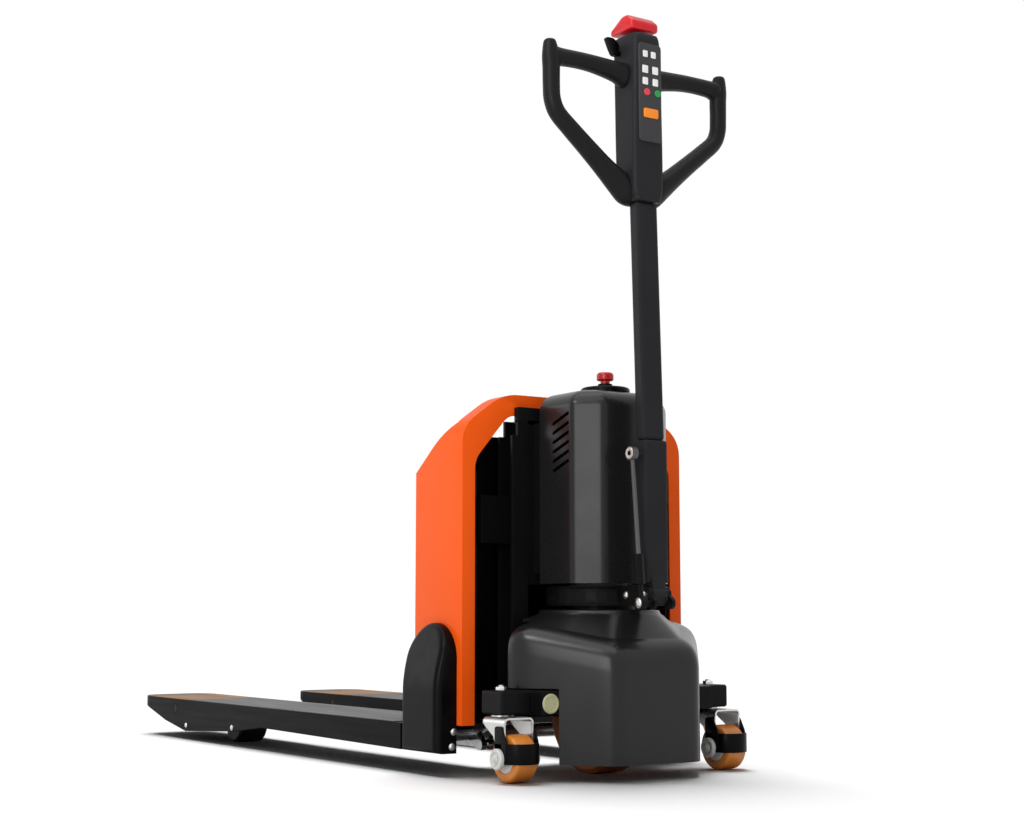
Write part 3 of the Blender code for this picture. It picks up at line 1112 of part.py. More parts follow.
def tiller_arm():
    """Pivot boss with its sleeve, and the leaning tube up to the head."""
    foot = (TILLER_Y, TILLER_Z)
    pivot = (0.0, *foot)
    half = SLEEVE_DEPTH / 2
    base = piece("tiller_base", box((-SLEEVE_HALF, SLEEVE_Y - half, SLEEVE_BOTTOM),
                                    (SLEEVE_HALF, SLEEVE_Y + half, SLEEVE_TOP), SLEEVE_ROUND), BLACK_PAINT, pivot)
    join(base, round_bar("X", foot, BOSS_RADIUS, -BOSS_HALF, BOSS_HALF, SIDES_ROLLER))
    neck = (SLEEVE_Y, SLEEVE_BOTTOM + BOSS_RADIUS)
    join(base, plate("X", link_outline(foot, BOSS_RADIUS - 4 * RUN_GAP, neck, half - 2 * RUN_GAP),
                     2 * RUN_GAP - BOSS_HALF, BOSS_HALF - 2 * RUN_GAP))
    cut(base, round_bar("X", foot, TILLER_PIN_RADIUS + RUN_GAP, -BOSS_HALF - CUT_PAST, BOSS_HALF + CUT_PAST))
    join(base, round_bar("X", (SPRING_TOP_Y, SPRING_TOP_Z), SPRING_STUD_RADIUS,
                         SPRING_X - SPRING_EYE_WIDTH / 2 - RUN_GAP, -SLEEVE_HALF / 2))
    low = SLEEVE_TOP + GAP
    high = HEAD_BOTTOM - GAP
    depth = TUBE_DEPTH / 2
    outline = [(SLEEVE_Y - depth, low), (TUBE_HEAD_Y - depth, high), (TUBE_HEAD_Y + depth, high), (SLEEVE_Y + depth, low)]
    piece("tiller_tube", plate("X", outline, -TUBE_WIDTH / 2, TUBE_WIDTH / 2, TUBE_ROUND), BLACK_PAINT, pivot)


def gas_spring():
    """Rod held at its eye on the tiller, and a barrel whose lower eye rides with play on the yoke's stud."""
    top = Vector((SPRING_X, SPRING_TOP_Y, SPRING_TOP_Z))
    eye = Vector((SPRING_X, SPRING_EYE_Y, SPRING_EYE_Z))
    rise = (top - eye).normalized()
    low = SPRING_X - SPRING_EYE_WIDTH / 2
    high = SPRING_X + SPRING_EYE_WIDTH / 2
    weld = SPRING_EYE_RADIUS * 0.85
    rod = piece("spring_rod", pipe((top - rise * weld, eye + rise * SPRING_ROD_FOOT), SPRING_ROD_RADIUS), STEEL,
                tuple(top))
    join(rod, round_bar("X", (top.y, top.z), SPRING_EYE_RADIUS, low, high))
    cut(rod, round_bar("X", (top.y, top.z), SPRING_STUD_RADIUS + GAP, low - CUT_PAST, high + CUT_PAST))
    start = eye + rise * SPRING_BARREL_START
    end = eye + rise * SPRING_BARREL_END
    barrel = piece("spring_barrel", pipe((start, end), SPRING_BARREL_RADIUS), BLACK_PAINT, tuple(eye))
    join(barrel, pipe((eye + rise * weld, start + rise * SPRING_NECK_RADIUS), SPRING_NECK_RADIUS))
    join(barrel, round_bar("X", (eye.y, eye.z), SPRING_EYE_RADIUS, low, high))
    cut(barrel, round_bar("X", (eye.y, eye.z), SPRING_STUD_RADIUS + SPRING_EYE_PLAY, low - CUT_PAST, high + CUT_PAST))
    cut(barrel, pipe((start + rise * SPRING_BARREL_RADIUS, end + rise * CUT_PAST), SPRING_ROD_RADIUS + RUN_GAP))


def button_places():
    """Middle of each round button on the face: name, x and finish."""
    return (("red_button", RED_X, RED_PLASTIC), ("green_button", GREEN_X, GREEN_PLASTIC))


def tiller_head():
    """Head column with its bores, the key panel on its face and the two handle loops."""
    pivot = (0.0, TILLER_Y, TILLER_Z)
    column = piece("head_column", box((-HEAD_HALF, -HEAD_REAR, HEAD_BOTTOM), (HEAD_HALF, -HEAD_FRONT, HEAD_TOP),
                                      HEAD_ROUND), BLACK_PLASTIC, pivot)
    well = HEAD_TOP - BELLY_STEM - BELLY_TRAVEL - RUN_GAP
    cut(column, round_bar("Z", (0.0, BELLY_STEM_Y), BELLY_STEM_RADIUS + RUN_GAP, well, HEAD_TOP + CUT_PAST))
    cut(column, round_bar("X", (PADDLE_Y, PADDLE_Z), PADDLE_SHAFT_RADIUS + RUN_GAP, -HEAD_HALF - CUT_PAST,
                          HEAD_HALF + CUT_PAST))
    panel = piece("key_panel", box((-PANEL_HALF, PANEL_FACE, PANEL_BOTTOM), (PANEL_HALF, -HEAD_REAR - GAP, PANEL_TOP)),
                  GREY_PANEL, pivot)
    for _, x, _ in button_places():
        cut(panel, round_bar("Y", (x, BUTTON_Z), BUTTON_RADIUS + RUN_GAP, PANEL_FACE - CUT_PAST, CUT_PAST - HEAD_REAR))
    half = AMBER_HEIGHT / 2 + RUN_GAP
    wide = AMBER_HALF + RUN_GAP
    cut(panel, box((-wide, PANEL_FACE - CUT_PAST, AMBER_Z - half), (wide, CUT_PAST - HEAD_REAR, AMBER_Z + half)))
    for name, side in SIDES:
        loop = piece("handle_loop_" + name, pipe(loop_path(side), LOOP_RADIUS, 2), SOFT_GRIP, pivot)
        outer = side * (LOOP_HALF - LOOP_RADIUS)
        join(loop, pipe(((outer, LOOP_Y, LOOP_TOP - 2 * LOOP_TOP_BEND), (outer, LOOP_Y, LOOP_TOP + LOOP_HORN_UP)),
                        LOOP_HORN_RADIUS))


def loop_path(side):
    """Middle line of one handle loop: out from the foot, up the slant, round the corner and back along the grip."""
    root = HEAD_HALF + GAP
    out = LOOP_HALF - LOOP_RADIUS
    grip = LOOP_TOP - LOOP_RADIUS
    line = [(root, LOOP_FOOT), (root + LOOP_FOOT_RUN, LOOP_FOOT)]
    line += arc((out - LOOP_BEND, LOOP_CORNER_Z), LOOP_BEND, -50, 0, 4)
    line += arc((out - LOOP_TOP_BEND, grip - LOOP_TOP_BEND), LOOP_TOP_BEND, 0, 90, 4)
    line += [(root, grip)]
    return [(side * x, LOOP_Y, z) for x, z in line]


def head_controls():
    """Push buttons, the belly switch on top and the thumb paddles on their cross shaft."""
    face = PANEL_FACE - BUTTON_PROUD
    seat = face + BUTTON_THICK
    for name, x, finish in button_places():
        piece(name, round_bar("Y", (x, BUTTON_Z), BUTTON_RADIUS, face, seat), finish, (x, face, BUTTON_Z))
    half = AMBER_HEIGHT / 2
    piece("amber_button", box((-AMBER_HALF, face, AMBER_Z - half), (AMBER_HALF, seat, AMBER_Z + half)), AMBER_PLASTIC,
          (0.0, face, AMBER_Z))
    under = HEAD_TOP + BELLY_TRAVEL + 2 * RUN_GAP
    crown = under + BELLY_HEIGHT
    wedge = [(-BELLY_REAR, under), (-BELLY_FRONT, under), (-BELLY_FRONT, under + BELLY_LIP), (BELLY_RIDGE_Y, crown),
             (-BELLY_REAR, under + BELLY_HEIGHT / 2)]
    belly = piece("belly_switch", plate("X", wedge, -BELLY_HALF, BELLY_HALF, BELLY_ROUND), RED_PLASTIC,
                  (0.0, BELLY_RIDGE_Y, crown))
    join(belly, round_bar("Z", (0.0, BELLY_STEM_Y), BELLY_STEM_RADIUS, HEAD_TOP - BELLY_STEM, under + BELLY_HEIGHT / 4))
    axis = (PADDLE_Y, PADDLE_Z)
    near = HEAD_HALF + 3 * RUN_GAP
    far = near + PADDLE_WIDTH
    paddles = piece("thumb_paddles", round_bar("X", axis, PADDLE_SHAFT_RADIUS, RUN_GAP - far, far - RUN_GAP),
                    BLACK_PLASTIC, (0.0, *axis))
    tip = (PADDLE_Y, PADDLE_Z + PADDLE_LENGTH)
    for _, side in SIDES:
        low, high = span(side, near, far)
        join(paddles, plate("X", link_outline(axis, PADDLE_HUB_RADIUS, tip, PADDLE_THICK / 2), low, high))


forks()
load_wheels()
rocker_shaft()
arch_frame()
heel_guards()
carriage_frame()
battery()
slide_pads()
chassis_frame()
mast()
lift_cylinder()
power_pack()
lower_skirt()
upper_cover()
emergency_stop()
drive_unit()
casters()
tiller_arm()
gas_spring()
tiller_head()
head_controls()
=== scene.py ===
"""Looks of the powered pallet truck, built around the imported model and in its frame, in metres."""
import math

import bpy
import numpy as np
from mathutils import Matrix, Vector


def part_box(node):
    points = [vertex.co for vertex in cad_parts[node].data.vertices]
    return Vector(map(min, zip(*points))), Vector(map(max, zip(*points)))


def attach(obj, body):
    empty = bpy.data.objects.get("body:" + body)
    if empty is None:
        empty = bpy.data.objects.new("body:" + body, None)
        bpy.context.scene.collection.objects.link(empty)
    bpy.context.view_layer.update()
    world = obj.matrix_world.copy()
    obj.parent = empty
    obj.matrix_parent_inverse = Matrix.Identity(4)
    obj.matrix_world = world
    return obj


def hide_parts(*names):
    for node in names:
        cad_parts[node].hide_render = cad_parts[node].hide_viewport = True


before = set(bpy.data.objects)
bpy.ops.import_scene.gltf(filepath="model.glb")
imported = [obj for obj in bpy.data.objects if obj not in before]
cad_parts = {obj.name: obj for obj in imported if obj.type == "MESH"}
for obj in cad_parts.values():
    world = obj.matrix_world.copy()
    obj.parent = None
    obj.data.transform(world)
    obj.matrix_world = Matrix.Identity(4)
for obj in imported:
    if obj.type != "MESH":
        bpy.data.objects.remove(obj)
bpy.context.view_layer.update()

# The truck's own numbers count y from the steering axis, and this moves them into the frame
STEER_Y = -0.58835
TAU = 2 * math.pi
PLAN_STEPS = 240
PLAN_ANGLES = (np.arange(PLAN_STEPS) + 0.5) * TAU / PLAN_STEPS
SIDES = (("left", -1), ("right", 1))

# Places that several pieces share
CASTER_X = 0.215
CASTER_Y = -0.0265
CASTER_AXLE_Y = -0.066
CASTER_AXLE_Z = 0.0375
RED_X = -0.008
GREEN_X = 0.0145
ROUND_BUTTONS_Z = 1.130
AMBER_Z = 1.094
BELLY_STEM_Y = -0.114
TILLER_PIN = (0.0, -0.153, 0.292)
SPRING_EYE = (0.0, -0.151, 0.5215)
PLUG_SPOT = (-0.1600, 0.0, 0.1215)


# Finishes

def tone(red, green, blue):
    """Linear colour of an 8-bit screen colour: each share of 255 raised to the power 2.2."""
    return tuple((share / 255.0) ** 2.2 for share in (red, green, blue)) + (1.0,)


class Finish:
    """Node tree of one finish on object coordinates, grown step by step."""

    def __init__(self, name, stretch=(1.0, 1.0, 1.0)):
        self.made = bpy.data.materials.new(name)
        self.made.use_nodes = True
        self.nodes = self.made.node_tree.nodes
        self.links = self.made.node_tree.links
        self.shader = self.nodes["Principled BSDF"]
        self.mapping = self.nodes.new("ShaderNodeMapping")
        self.mapping.inputs["Scale"].default_value = stretch
        self.links.new(self.nodes.new("ShaderNodeTexCoord").outputs["Object"],
                       self.mapping.inputs["Vector"])

    def noise(self, scale, detail=3.0):
        """Cloudy value from 0 to 1, with that many clouds to the metre."""
        cloud = self.nodes.new("ShaderNodeTexNoise")
        cloud.inputs["Scale"].default_value = scale
        cloud.inputs["Detail"].default_value = detail
        self.links.new(self.mapping.outputs["Vector"], cloud.inputs["Vector"])
        return cloud.outputs["Fac"]

    def ramp(self, value, stops):
        """Colour that runs through (place, colour) stops as the value rises."""
        made = self.nodes.new("ShaderNodeValToRGB")
        first, last = made.color_ramp.elements
        first.position, first.color = stops[0]
        last.position, last.color = stops[-1]
        for place, colour in stops[1:-1]:
            made.color_ramp.elements.new(place).color = colour
        self.links.new(value, made.inputs["Fac"])
        return made.outputs["Color"]

    def spread(self, value, low, high, start=0.3, end=0.7):
        """Value moved from the span start to end onto the span low to high."""
        made = self.nodes.new("ShaderNodeMapRange")
        for socket, number in (("From Min", start), ("From Max", end), ("To Min", low), ("To Max", high)):
            made.inputs[socket].default_value = number
        self.links.new(value, made.inputs["Value"])
        return made.outputs["Result"]

    def height(self, axis):
        """Object coordinate along one axis."""
        made = self.nodes.new("ShaderNodeSeparateXYZ")
        self.links.new(self.mapping.outputs["Vector"], made.inputs["Vector"])
        return made.outputs[axis]

    def mix(self, share, under, over):
        """Colour over laid on colour under by a share from 0 to 1."""
        made = self.nodes.new("ShaderNodeMix")
        made.data_type = "RGBA"
        self.links.new(share, made.inputs["Factor"])
        self.links.new(under, made.inputs["A"])
        self.links.new(over, made.inputs["B"])
        return made.outputs["Result"]

    def times(self, first, second):
        """Product of two values."""
        made = self.nodes.new("ShaderNodeMath")
        made.operation = "MULTIPLY"
        self.links.new(first, made.inputs[0])
        self.links.new(second, made.inputs[1])
        return made.outputs["Value"]

    def grain(self, value, strength, depth):
        """Raised grain of that depth in metres, read by the bump."""
        made = self.nodes.new("ShaderNodeBump")
        made.inputs["Strength"].default_value = strength
        made.inputs["Distance"].default_value = depth
        self.links.new(value, made.inputs["Height"])
        self.links.new(made.outputs["Normal"], self.shader.inputs["Normal"])

    def set(self, **numbers):
        """Fixed numbers on the shader's own sockets."""
        for name, number in numbers.items():
            self.shader.inputs[name.replace("_", " ")].default_value = number
        return self

    def give(self, socket, value):
        """Value that drives one of the shader's sockets."""
        self.links.new(value, self.shader.inputs[socket])


def coated(name, colour, rough, patches, shift, grain, rough_shift=0.06, **numbers):
    """Even coat: a broad noise moves the colour a little about its tone, a finer one the roughness, and
    the finest raises the grain (specks to the metre, strength, depth in metres)."""
    made = Finish(name)
    dark = tuple(share * (1 - shift) for share in colour[:3]) + (1.0,)
    light = tuple(min(share * (1 + shift), 1.0) for share in colour[:3]) + (1.0,)
    made.give("Base Color", made.ramp(made.noise(patches), ((0.3, dark), (0.7, light))))
    made.give("Roughness", made.spread(made.noise(patches * 6), rough - rough_shift, rough + rough_shift))
    made.grain(made.noise(grain[0], 2.0), grain[1], grain[2])
    made.set(**numbers)
    return made.made


def fork_coat():
    """Black paint rubbed paler along the runs of the load: a noise drawn out along the forks lifts the
    tone near the height of the fork tops, and a tan wear patch comes in towards the tips."""
    across, along = 26.0, 1.6
    made = Finish("fork_coat", (across, along, across))
    black = made.ramp(made.noise(0.5), ((0.3, tone(13, 13, 14)), (0.7, tone(19, 19, 20))))
    rubbed = made.ramp(made.noise(2.0, 5.0), ((0.35, tone(86, 86, 87)), (0.75, tone(112, 111, 110))))
    tan = made.ramp(made.noise(2.6, 4.0), ((0.3, tone(152, 110, 68)), (0.7, tone(176, 126, 78))))
    top = made.spread(made.height("Z"), 0.0, 1.0, across * 0.0815, across * 0.0828)
    near = made.spread(made.height("Y"), 0.0, 0.9, along * (1.08 + STEER_Y), along * (1.12 + STEER_Y))
    far = made.spread(made.height("Y"), 1.0, 0.0, along * (1.27 + STEER_Y), along * (1.31 + STEER_Y))
    worn = made.mix(made.times(near, far), rubbed, tan)
    share = made.times(top, made.spread(made.noise(1.2), 0.75, 1.0))
    made.give("Base Color", made.mix(share, black, worn))
    made.give("Roughness", made.spread(made.noise(3.0), 0.40, 0.52))
    made.grain(made.noise(14.0, 2.0), 0.10, 0.0004)
    return made.set(Specular_IOR_Level=0.05).made


def plated(name, colour, rough, stretch):
    """Bright metal: a noise drawn out along the working direction moves roughness and tone and cuts fine
    lines."""
    made = Finish(name, stretch)
    dark = tuple(share * 0.80 for share in colour[:3]) + (1.0,)
    made.give("Base Color", made.ramp(made.noise(8.0), ((0.3, dark), (0.7, colour))))
    made.give("Roughness", made.spread(made.noise(30.0), rough - 0.08, rough + 0.10))
    made.grain(made.noise(160.0, 2.0), 0.08, 0.0002)
    return made.set(Metallic=1.0).made


# Numpy surfaces

def skin(rings, closed=False):
    """Rows of ring points joined by quads; each end is fanned to its mean point, or the last row meets
    the first. Faces turn outwards by the sign of the volume that their corner fans sweep about the
    origin."""
    rings = np.asarray(rings, float)
    rows, around = rings.shape[:2]
    index = np.arange(rows * around).reshape(rows, around)
    upper = np.roll(index, -1, 0) if closed else index[1:]
    lower = index if closed else index[:-1]
    quads = np.stack([lower, np.roll(lower, -1, 1), np.roll(upper, -1, 1), upper], -1).reshape(-1, 4)
    points = rings.reshape(-1, 3)
    fans = np.zeros((0, 3), int)
    if not closed:
        points = np.concatenate([points, rings[:1].mean(1), rings[-1:].mean(1)])
        first, last = index[0], index[-1]
        start = np.stack([np.full(around, rows * around), np.roll(first, -1), first], -1)
        end = np.stack([np.full(around, rows * around + 1), last, np.roll(last, -1)], -1)
        fans = np.concatenate([start, end])
    triangles = np.concatenate([quads[:, [0, 1, 2]], quads[:, [0, 2, 3]], fans])
    corners = points[triangles]
    volume = np.einsum("ij,ij->i", corners[:, 0], np.cross(corners[:, 1], corners[:, 2])).sum()
    if volume < 0:
        quads, fans = quads[:, ::-1], fans[:, ::-1]
    return points, quads.tolist() + fans.tolist()


def together(*surfaces):
    """Several closed surfaces as one list of points and faces."""
    points = np.concatenate([surface[0] for surface in surfaces])
    faces = []
    count = 0
    for own, own_faces in surfaces:
        faces += [[corner + count for corner in face] for face in own_faces]
        count += len(own)
    return points, faces


def mesh_of(surface):
    """Mesh of a surface in the truck's own numbers, moved to the frame."""
    points, faces = surface
    mesh = bpy.data.meshes.new("surface")
    mesh.from_pydata((points + (0.0, STEER_Y, 0.0)).tolist(), [], faces)
    mesh.update()
    return mesh


def smooth(mesh, angle):
    """Smooth shading, with edges sharper than the angle kept crisp."""
    mesh.shade_smooth()
    mesh.set_sharp_from_angle(angle=math.radians(angle))


def place(name, body, slot, finish, surface, replaces=(), cutters=(), angle=35.0, bevel=0.0):
    """Piece of the truck: a surface, less its cutters, in a finish, riding on a body."""
    piece = bpy.data.objects.new(name, mesh_of(surface))
    bpy.context.scene.collection.objects.link(piece)
    if cutters:
        carve(piece, cutters)
    smooth(piece.data, angle)
    piece.data.materials.clear()
    piece.data.materials.append(finish)
    if bevel:
        rounding(piece, bevel)
    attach(piece, body)
    if replaces:
        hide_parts(*replaces)
    return piece


def carve(piece, cutters):
    """Takes the cutters' volumes out of a piece and keeps the result as its mesh."""
    tools = []
    for cutter in cutters:
        tool = bpy.data.objects.new("cutter", mesh_of(cutter))
        bpy.context.scene.collection.objects.link(tool)
        tools.append(tool)
        step = piece.modifiers.new("carve", "BOOLEAN")
        step.operation = "DIFFERENCE"
        step.solver = "EXACT"
        step.object = tool
    bpy.context.view_layer.update()
    carved = bpy.data.meshes.new_from_object(piece.evaluated_get(bpy.context.evaluated_depsgraph_get()))
    piece.modifiers.clear()
    piece.data = carved
    for tool in tools:
        bpy.data.objects.remove(tool, do_unlink=True)


def rounding(piece, width):
    """Merges loose corners and rounds the sharp edges."""
    weld = piece.modifiers.new("weld", "WELD")
    weld.merge_threshold = 0.00001
    bevel = piece.modifiers.new("rounding", "BEVEL")
    bevel.width = width
    bevel.segments = 2
    bevel.limit_method = "ANGLE"
    bevel.angle_limit = math.radians(30)


def ring_line(points, centre, axis):
    """Turns (radius, along) points to a surface of revolution about an axis through the centre: every
    profile point becomes a ring whose angle runs once round."""
    angle = np.linspace(0.0, TAU, 64, endpoint=False)
    profile = np.asarray(points, float)
    wave = np.stack([np.cos(angle), np.sin(angle)], -1)
    flat = profile[:, None, :1] * wave[None]
    along = np.broadcast_to(profile[:, None, 1:], flat.shape[:2] + (1,))
    return facing(np.concatenate([flat, along], -1), axis) + np.asarray(centre, float)


def turned(points, centre, axis):
    """Closed turned piece whose profile starts and ends near its axis."""
    return skin(ring_line(points, centre, axis))


def hoop(points, centre, axis):
    """Turned ring whose profile closes on itself."""
    return skin(ring_line(points, centre, axis), closed=True)


def corner_arc(centre, radius, start, end, steps=8):
    """Points on an arc, from angle to angle in degrees."""
    angle = np.radians(np.linspace(start, end, steps))
    return np.stack([np.cos(angle), np.sin(angle)], -1) * radius + np.asarray(centre, float)


def rounded_box_outline(half_a, half_b, radius, steps=7):
    """Rectangle about the origin with its four corners on arcs."""
    a, b = half_a - radius, half_b - radius
    return np.concatenate([corner_arc((a, b), radius, 0, 90, steps),
                           corner_arc((-a, b), radius, 90, 180, steps),
                           corner_arc((-a, -b), radius, 180, 270, steps),
                           corner_arc((a, -b), radius, 270, 360, steps)])


def softened(points, radius, steps=6):
    """Polygon with each corner drawn as the parabola from one edge to the next, starting a radius short
    of it."""
    points = np.asarray(points, float)
    back = np.roll(points, 1, 0) - points
    ahead = np.roll(points, -1, 0) - points
    start = points + back * radius / np.linalg.norm(back, axis=1, keepdims=True)
    end = points + ahead * radius / np.linalg.norm(ahead, axis=1, keepdims=True)
    t = np.linspace(0.0, 1.0, steps)[None, :, None]
    curve = (1 - t) ** 2 * start[:, None] + 2 * t * (1 - t) * points[:, None] + t ** 2 * end[:, None]
    return curve.reshape(-1, 2)


def mirrored(half):
    """Outline closed by its mirror image across the middle."""
    half = np.asarray(half, float)
    return np.concatenate([half, half[::-1] * (-1.0, 1.0)])


def eased(rows, steps):
    """Rows with that many steps put between each pair, on a cubic that passes through the rows; its slope
    at a row is half the way from the row before to the row after."""
    rows = np.asarray(rows, float)
    held = np.concatenate([rows[:1], rows, rows[-1:]])
    t = (np.arange(steps) / steps).reshape(1, steps, *([1] * (rows.ndim - 1)))
    a, b, c, d = (held[i:len(held) - 3 + i, None] for i in range(4))
    square = 2 * a - 5 * b + 4 * c - d
    cube = 3 * b - a - 3 * c + d
    curve = 0.5 * (2 * b + (c - a) * t + square * t ** 2 + cube * t ** 3)
    return np.concatenate([curve.reshape(-1, *rows.shape[1:]), rows[-1:]])


def domed(outline, low, high, edge, steps=5):
    """Stack of outlines (across, up) along a third axis: full in the middle, and at both ends drawn in
    towards the mean by a quarter round of that edge, so inset = edge (1 - sin t) while the depth runs
    edge (1 - cos t)."""
    outline = np.asarray(outline, float)
    middle = outline.mean(0)
    size = np.abs(outline - middle).max(0)
    turn = np.linspace(0.0, math.pi / 2, steps)
    inset = edge * (1 - np.sin(turn))
    depth = edge * (1 - np.cos(turn))
    inset = np.concatenate([inset, inset[::-1]])
    level = np.concatenate([low + depth, (high - depth)[::-1]])
    share = 1 - inset[:, None, None] / size
    flat = middle + (outline - middle)[None] * share
    return np.concatenate([flat, np.broadcast_to(level[:, None, None], flat.shape[:2] + (1,))], -1)


def facing(rows, axis):
    """Stacked (across, up, along) rows laid along a main axis: X takes (y, z), Y takes (x, z), Z takes
    (x, y)."""
    order = {"X": (2, 0, 1), "Y": (0, 2, 1), "Z": (0, 1, 2)}[axis]
    return rows[..., order]


def pad(outline, low, high, edge, axis):
    """Closed plate of an outline with soft edges."""
    return skin(facing(domed(outline, low, high, edge), axis))


def block(low, high):
    """Box between two corners, as a pair of square rings."""
    x = np.array([low[0], high[0], high[0], low[0]])
    y = np.array([low[1], low[1], high[1], high[1]])
    return skin([np.stack([x, y, np.full(4, z)], -1) for z in (low[2], high[2])])


def swept(path, outline, side):
    """Outline carried along a path: at each point its across axis is the given side vector, and its up
    axis is the cross product of the path's direction with it."""
    path = np.asarray(path, float)
    run = np.gradient(path, axis=0)
    run /= np.linalg.norm(run, axis=1, keepdims=True)
    side = np.asarray(side, float)
    up = np.cross(run, side)
    up /= np.linalg.norm(up, axis=1, keepdims=True)
    outline = np.asarray(outline, float)
    return path[:, None] + outline[None, :, :1] * side + outline[None, :, 1:] * up[:, None]


# The truck's finishes

ORANGE_PAINT = coated("orange_paint", tone(234, 88, 24), 0.38, 5.0, 0.04, (300.0, 0.05, 0.0004), 0.03,
                      Specular_IOR_Level=0.10)
BLACK_PAINT = coated("black_paint", tone(20, 20, 21), 0.42, 6.0, 0.14, (380.0, 0.10, 0.0004),
                     Specular_IOR_Level=0.08)
TUBE_PAINT = coated("tube_paint", tone(40, 40, 42), 0.40, 8.0, 0.10, (420.0, 0.08, 0.0004),
                    Specular_IOR_Level=0.07)
FORK_PAINT = fork_coat()
COVER_PLASTIC = coated("cover_plastic", tone(31, 31, 32), 0.27, 4.0, 0.08, (1500.0, 0.08, 0.0003), 0.02,
                       Specular_IOR_Level=0.22)
SKIRT_PLASTIC = coated("skirt_plastic", tone(31, 31, 31), 0.25, 4.0, 0.06, (900.0, 0.04, 0.0003), 0.02,
                       Specular_IOR_Level=0.26)
GUARD_PLASTIC = coated("guard_plastic", tone(16, 15, 16), 0.33, 6.0, 0.10, (1100.0, 0.08, 0.0003),
                       Specular_IOR_Level=0.07)
HEAD_PLASTIC = coated("head_plastic", tone(40, 40, 42), 0.44, 7.0, 0.08, (1600.0, 0.14, 0.0003),
                      Specular_IOR_Level=0.08)
GRIP_PLASTIC = coated("grip_plastic", tone(30, 30, 31), 0.40, 10.0, 0.10, (1700.0, 0.16, 0.0003),
                      Specular_IOR_Level=0.10)
CASE_PLASTIC = coated("case_plastic", tone(7, 7, 8), 0.50, 6.0, 0.16, (1200.0, 0.15, 0.0003),
                      Specular_IOR_Level=0.05)
PANEL_FACE = coated("panel_face", tone(58, 58, 60), 0.42, 12.0, 0.06, (1800.0, 0.10, 0.0002),
                    Specular_IOR_Level=0.20)
KEY_WHITE = coated("key_white", tone(232, 232, 230), 0.40, 20.0, 0.03, (1500.0, 0.08, 0.0002))
STOP_RED = coated("stop_red", tone(176, 22, 28), 0.28, 20.0, 0.06, (800.0, 0.05, 0.0002),
                  Specular_IOR_Level=0.35)
BELLY_RED = coated("belly_red", tone(200, 24, 34), 0.34, 16.0, 0.05, (1200.0, 0.08, 0.0002),
                   Specular_IOR_Level=0.40)
BUTTON_RED = coated("button_red", tone(206, 62, 70), 0.34, 40.0, 0.05, (1500.0, 0.06, 0.0002))
BUTTON_GREEN = coated("button_green", tone(8, 140, 70), 0.34, 40.0, 0.06, (1500.0, 0.06, 0.0002))
BUTTON_AMBER = coated("button_amber", tone(240, 134, 26), 0.36, 40.0, 0.05, (1500.0, 0.06, 0.0002))
WHEEL_AMBER = coated("wheel_amber", tone(198, 118, 44), 0.38, 24.0, 0.12, (500.0, 0.12, 0.0004))
TYRE_BROWN = coated("tyre_brown", tone(146, 80, 34), 0.48, 16.0, 0.14, (420.0, 0.18, 0.0006))
# Load rollers: a near-black tone that is painted shade, standing for the shadow under the fork noses
ROLLER_PAINTED_SHADE = coated("roller_painted_shade", tone(28, 28, 29), 0.48, 20.0, 0.14, (420.0, 0.16, 0.0005),
                      Specular_IOR_Level=0.20)
HUB_GREY = coated("hub_grey", tone(196, 197, 194), 0.42, 24.0, 0.06, (700.0, 0.08, 0.0003))
PLUG_OLIVE = coated("plug_olive", tone(170, 169, 128), 0.46, 30.0, 0.05, (1300.0, 0.10, 0.0002))
MOTOR_CASTING = coated("motor_casting", tone(92, 94, 96), 0.52, 12.0, 0.12, (260.0, 0.25, 0.0006),
                       Specular_IOR_Level=0.3)
NYLON_PAD = coated("nylon_pad", tone(8, 8, 9), 0.55, 18.0, 0.10, (700.0, 0.10, 0.0003),
                   Specular_IOR_Level=0.05)
ZINC = plated("zinc", tone(206, 206, 203), 0.30, (1.0, 1.0, 0.25))
STEEL = plated("steel", tone(178, 178, 180), 0.26, (0.2, 1.0, 1.0))
ROD_GREY = plated("rod_grey", tone(92, 90, 92), 0.38, (1.0, 1.0, 0.1))

# Imported nodes that keep their own shape, with both sides under a name that ends in _:
# finish, edge rounding in metres
# load_roller_ takes the painted-shade roller tone
KEPT = {"fork_": (FORK_PAINT, 0.0035), "carriage_frame": (BLACK_PAINT, 0.0008),
        "battery": (CASE_PLASTIC, 0.003), "chassis_frame": (BLACK_PAINT, 0.0008),
        "mast": (BLACK_PAINT, 0.0008), "neck_ring": (BLACK_PAINT, 0.0006),
        "lift_cylinder": (MOTOR_CASTING, 0.0008), "lift_ram": (STEEL, 0.0006),
        "pump_motor": (MOTOR_CASTING, 0.0015), "motor_controller": (MOTOR_CASTING, 0.0),
        "slide_pad_": (NYLON_PAD, 0.0008), "rocker_shaft": (STEEL, 0.0004), "push_rod_": (STEEL, 0.0005),
        "load_arm_": (BLACK_PAINT, 0.0006), "load_pin_": (BLACK_PAINT, 0.0004),
        "steer_head": (BLACK_PAINT, 0.0008), "tiller_pin": (STEEL, 0.0006),
        "drive_gearbox": (MOTOR_CASTING, 0.0), "traction_motor": (MOTOR_CASTING, 0.0015),
        "drive_hub": (MOTOR_CASTING, 0.0008), "drive_tyre": (TYRE_BROWN, 0.001),
        "load_roller_": (ROLLER_PAINTED_SHADE, 0.001), "caster_arm_": (BLACK_PAINT, 0.002),
        "tiller_base": (TUBE_PAINT, 0.0008), "tiller_tube": (TUBE_PAINT, 0.0),
        "spring_rod": (ROD_GREY, 0.0003), "spring_barrel": (BLACK_PAINT, 0.0005)}


def dress_nodes():
    """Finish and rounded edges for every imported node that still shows."""
    for kind, (finish, width) in KEPT.items():
        names = [kind + side for side, _ in SIDES] if kind.endswith("_") else [kind]
        for node in (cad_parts[name] for name in names):
            if not node.material_slots:
                node.data.materials.append(finish)
            for slot in node.material_slots:
                slot.material = finish
            if width:
                rounding(node, width)


# Studio

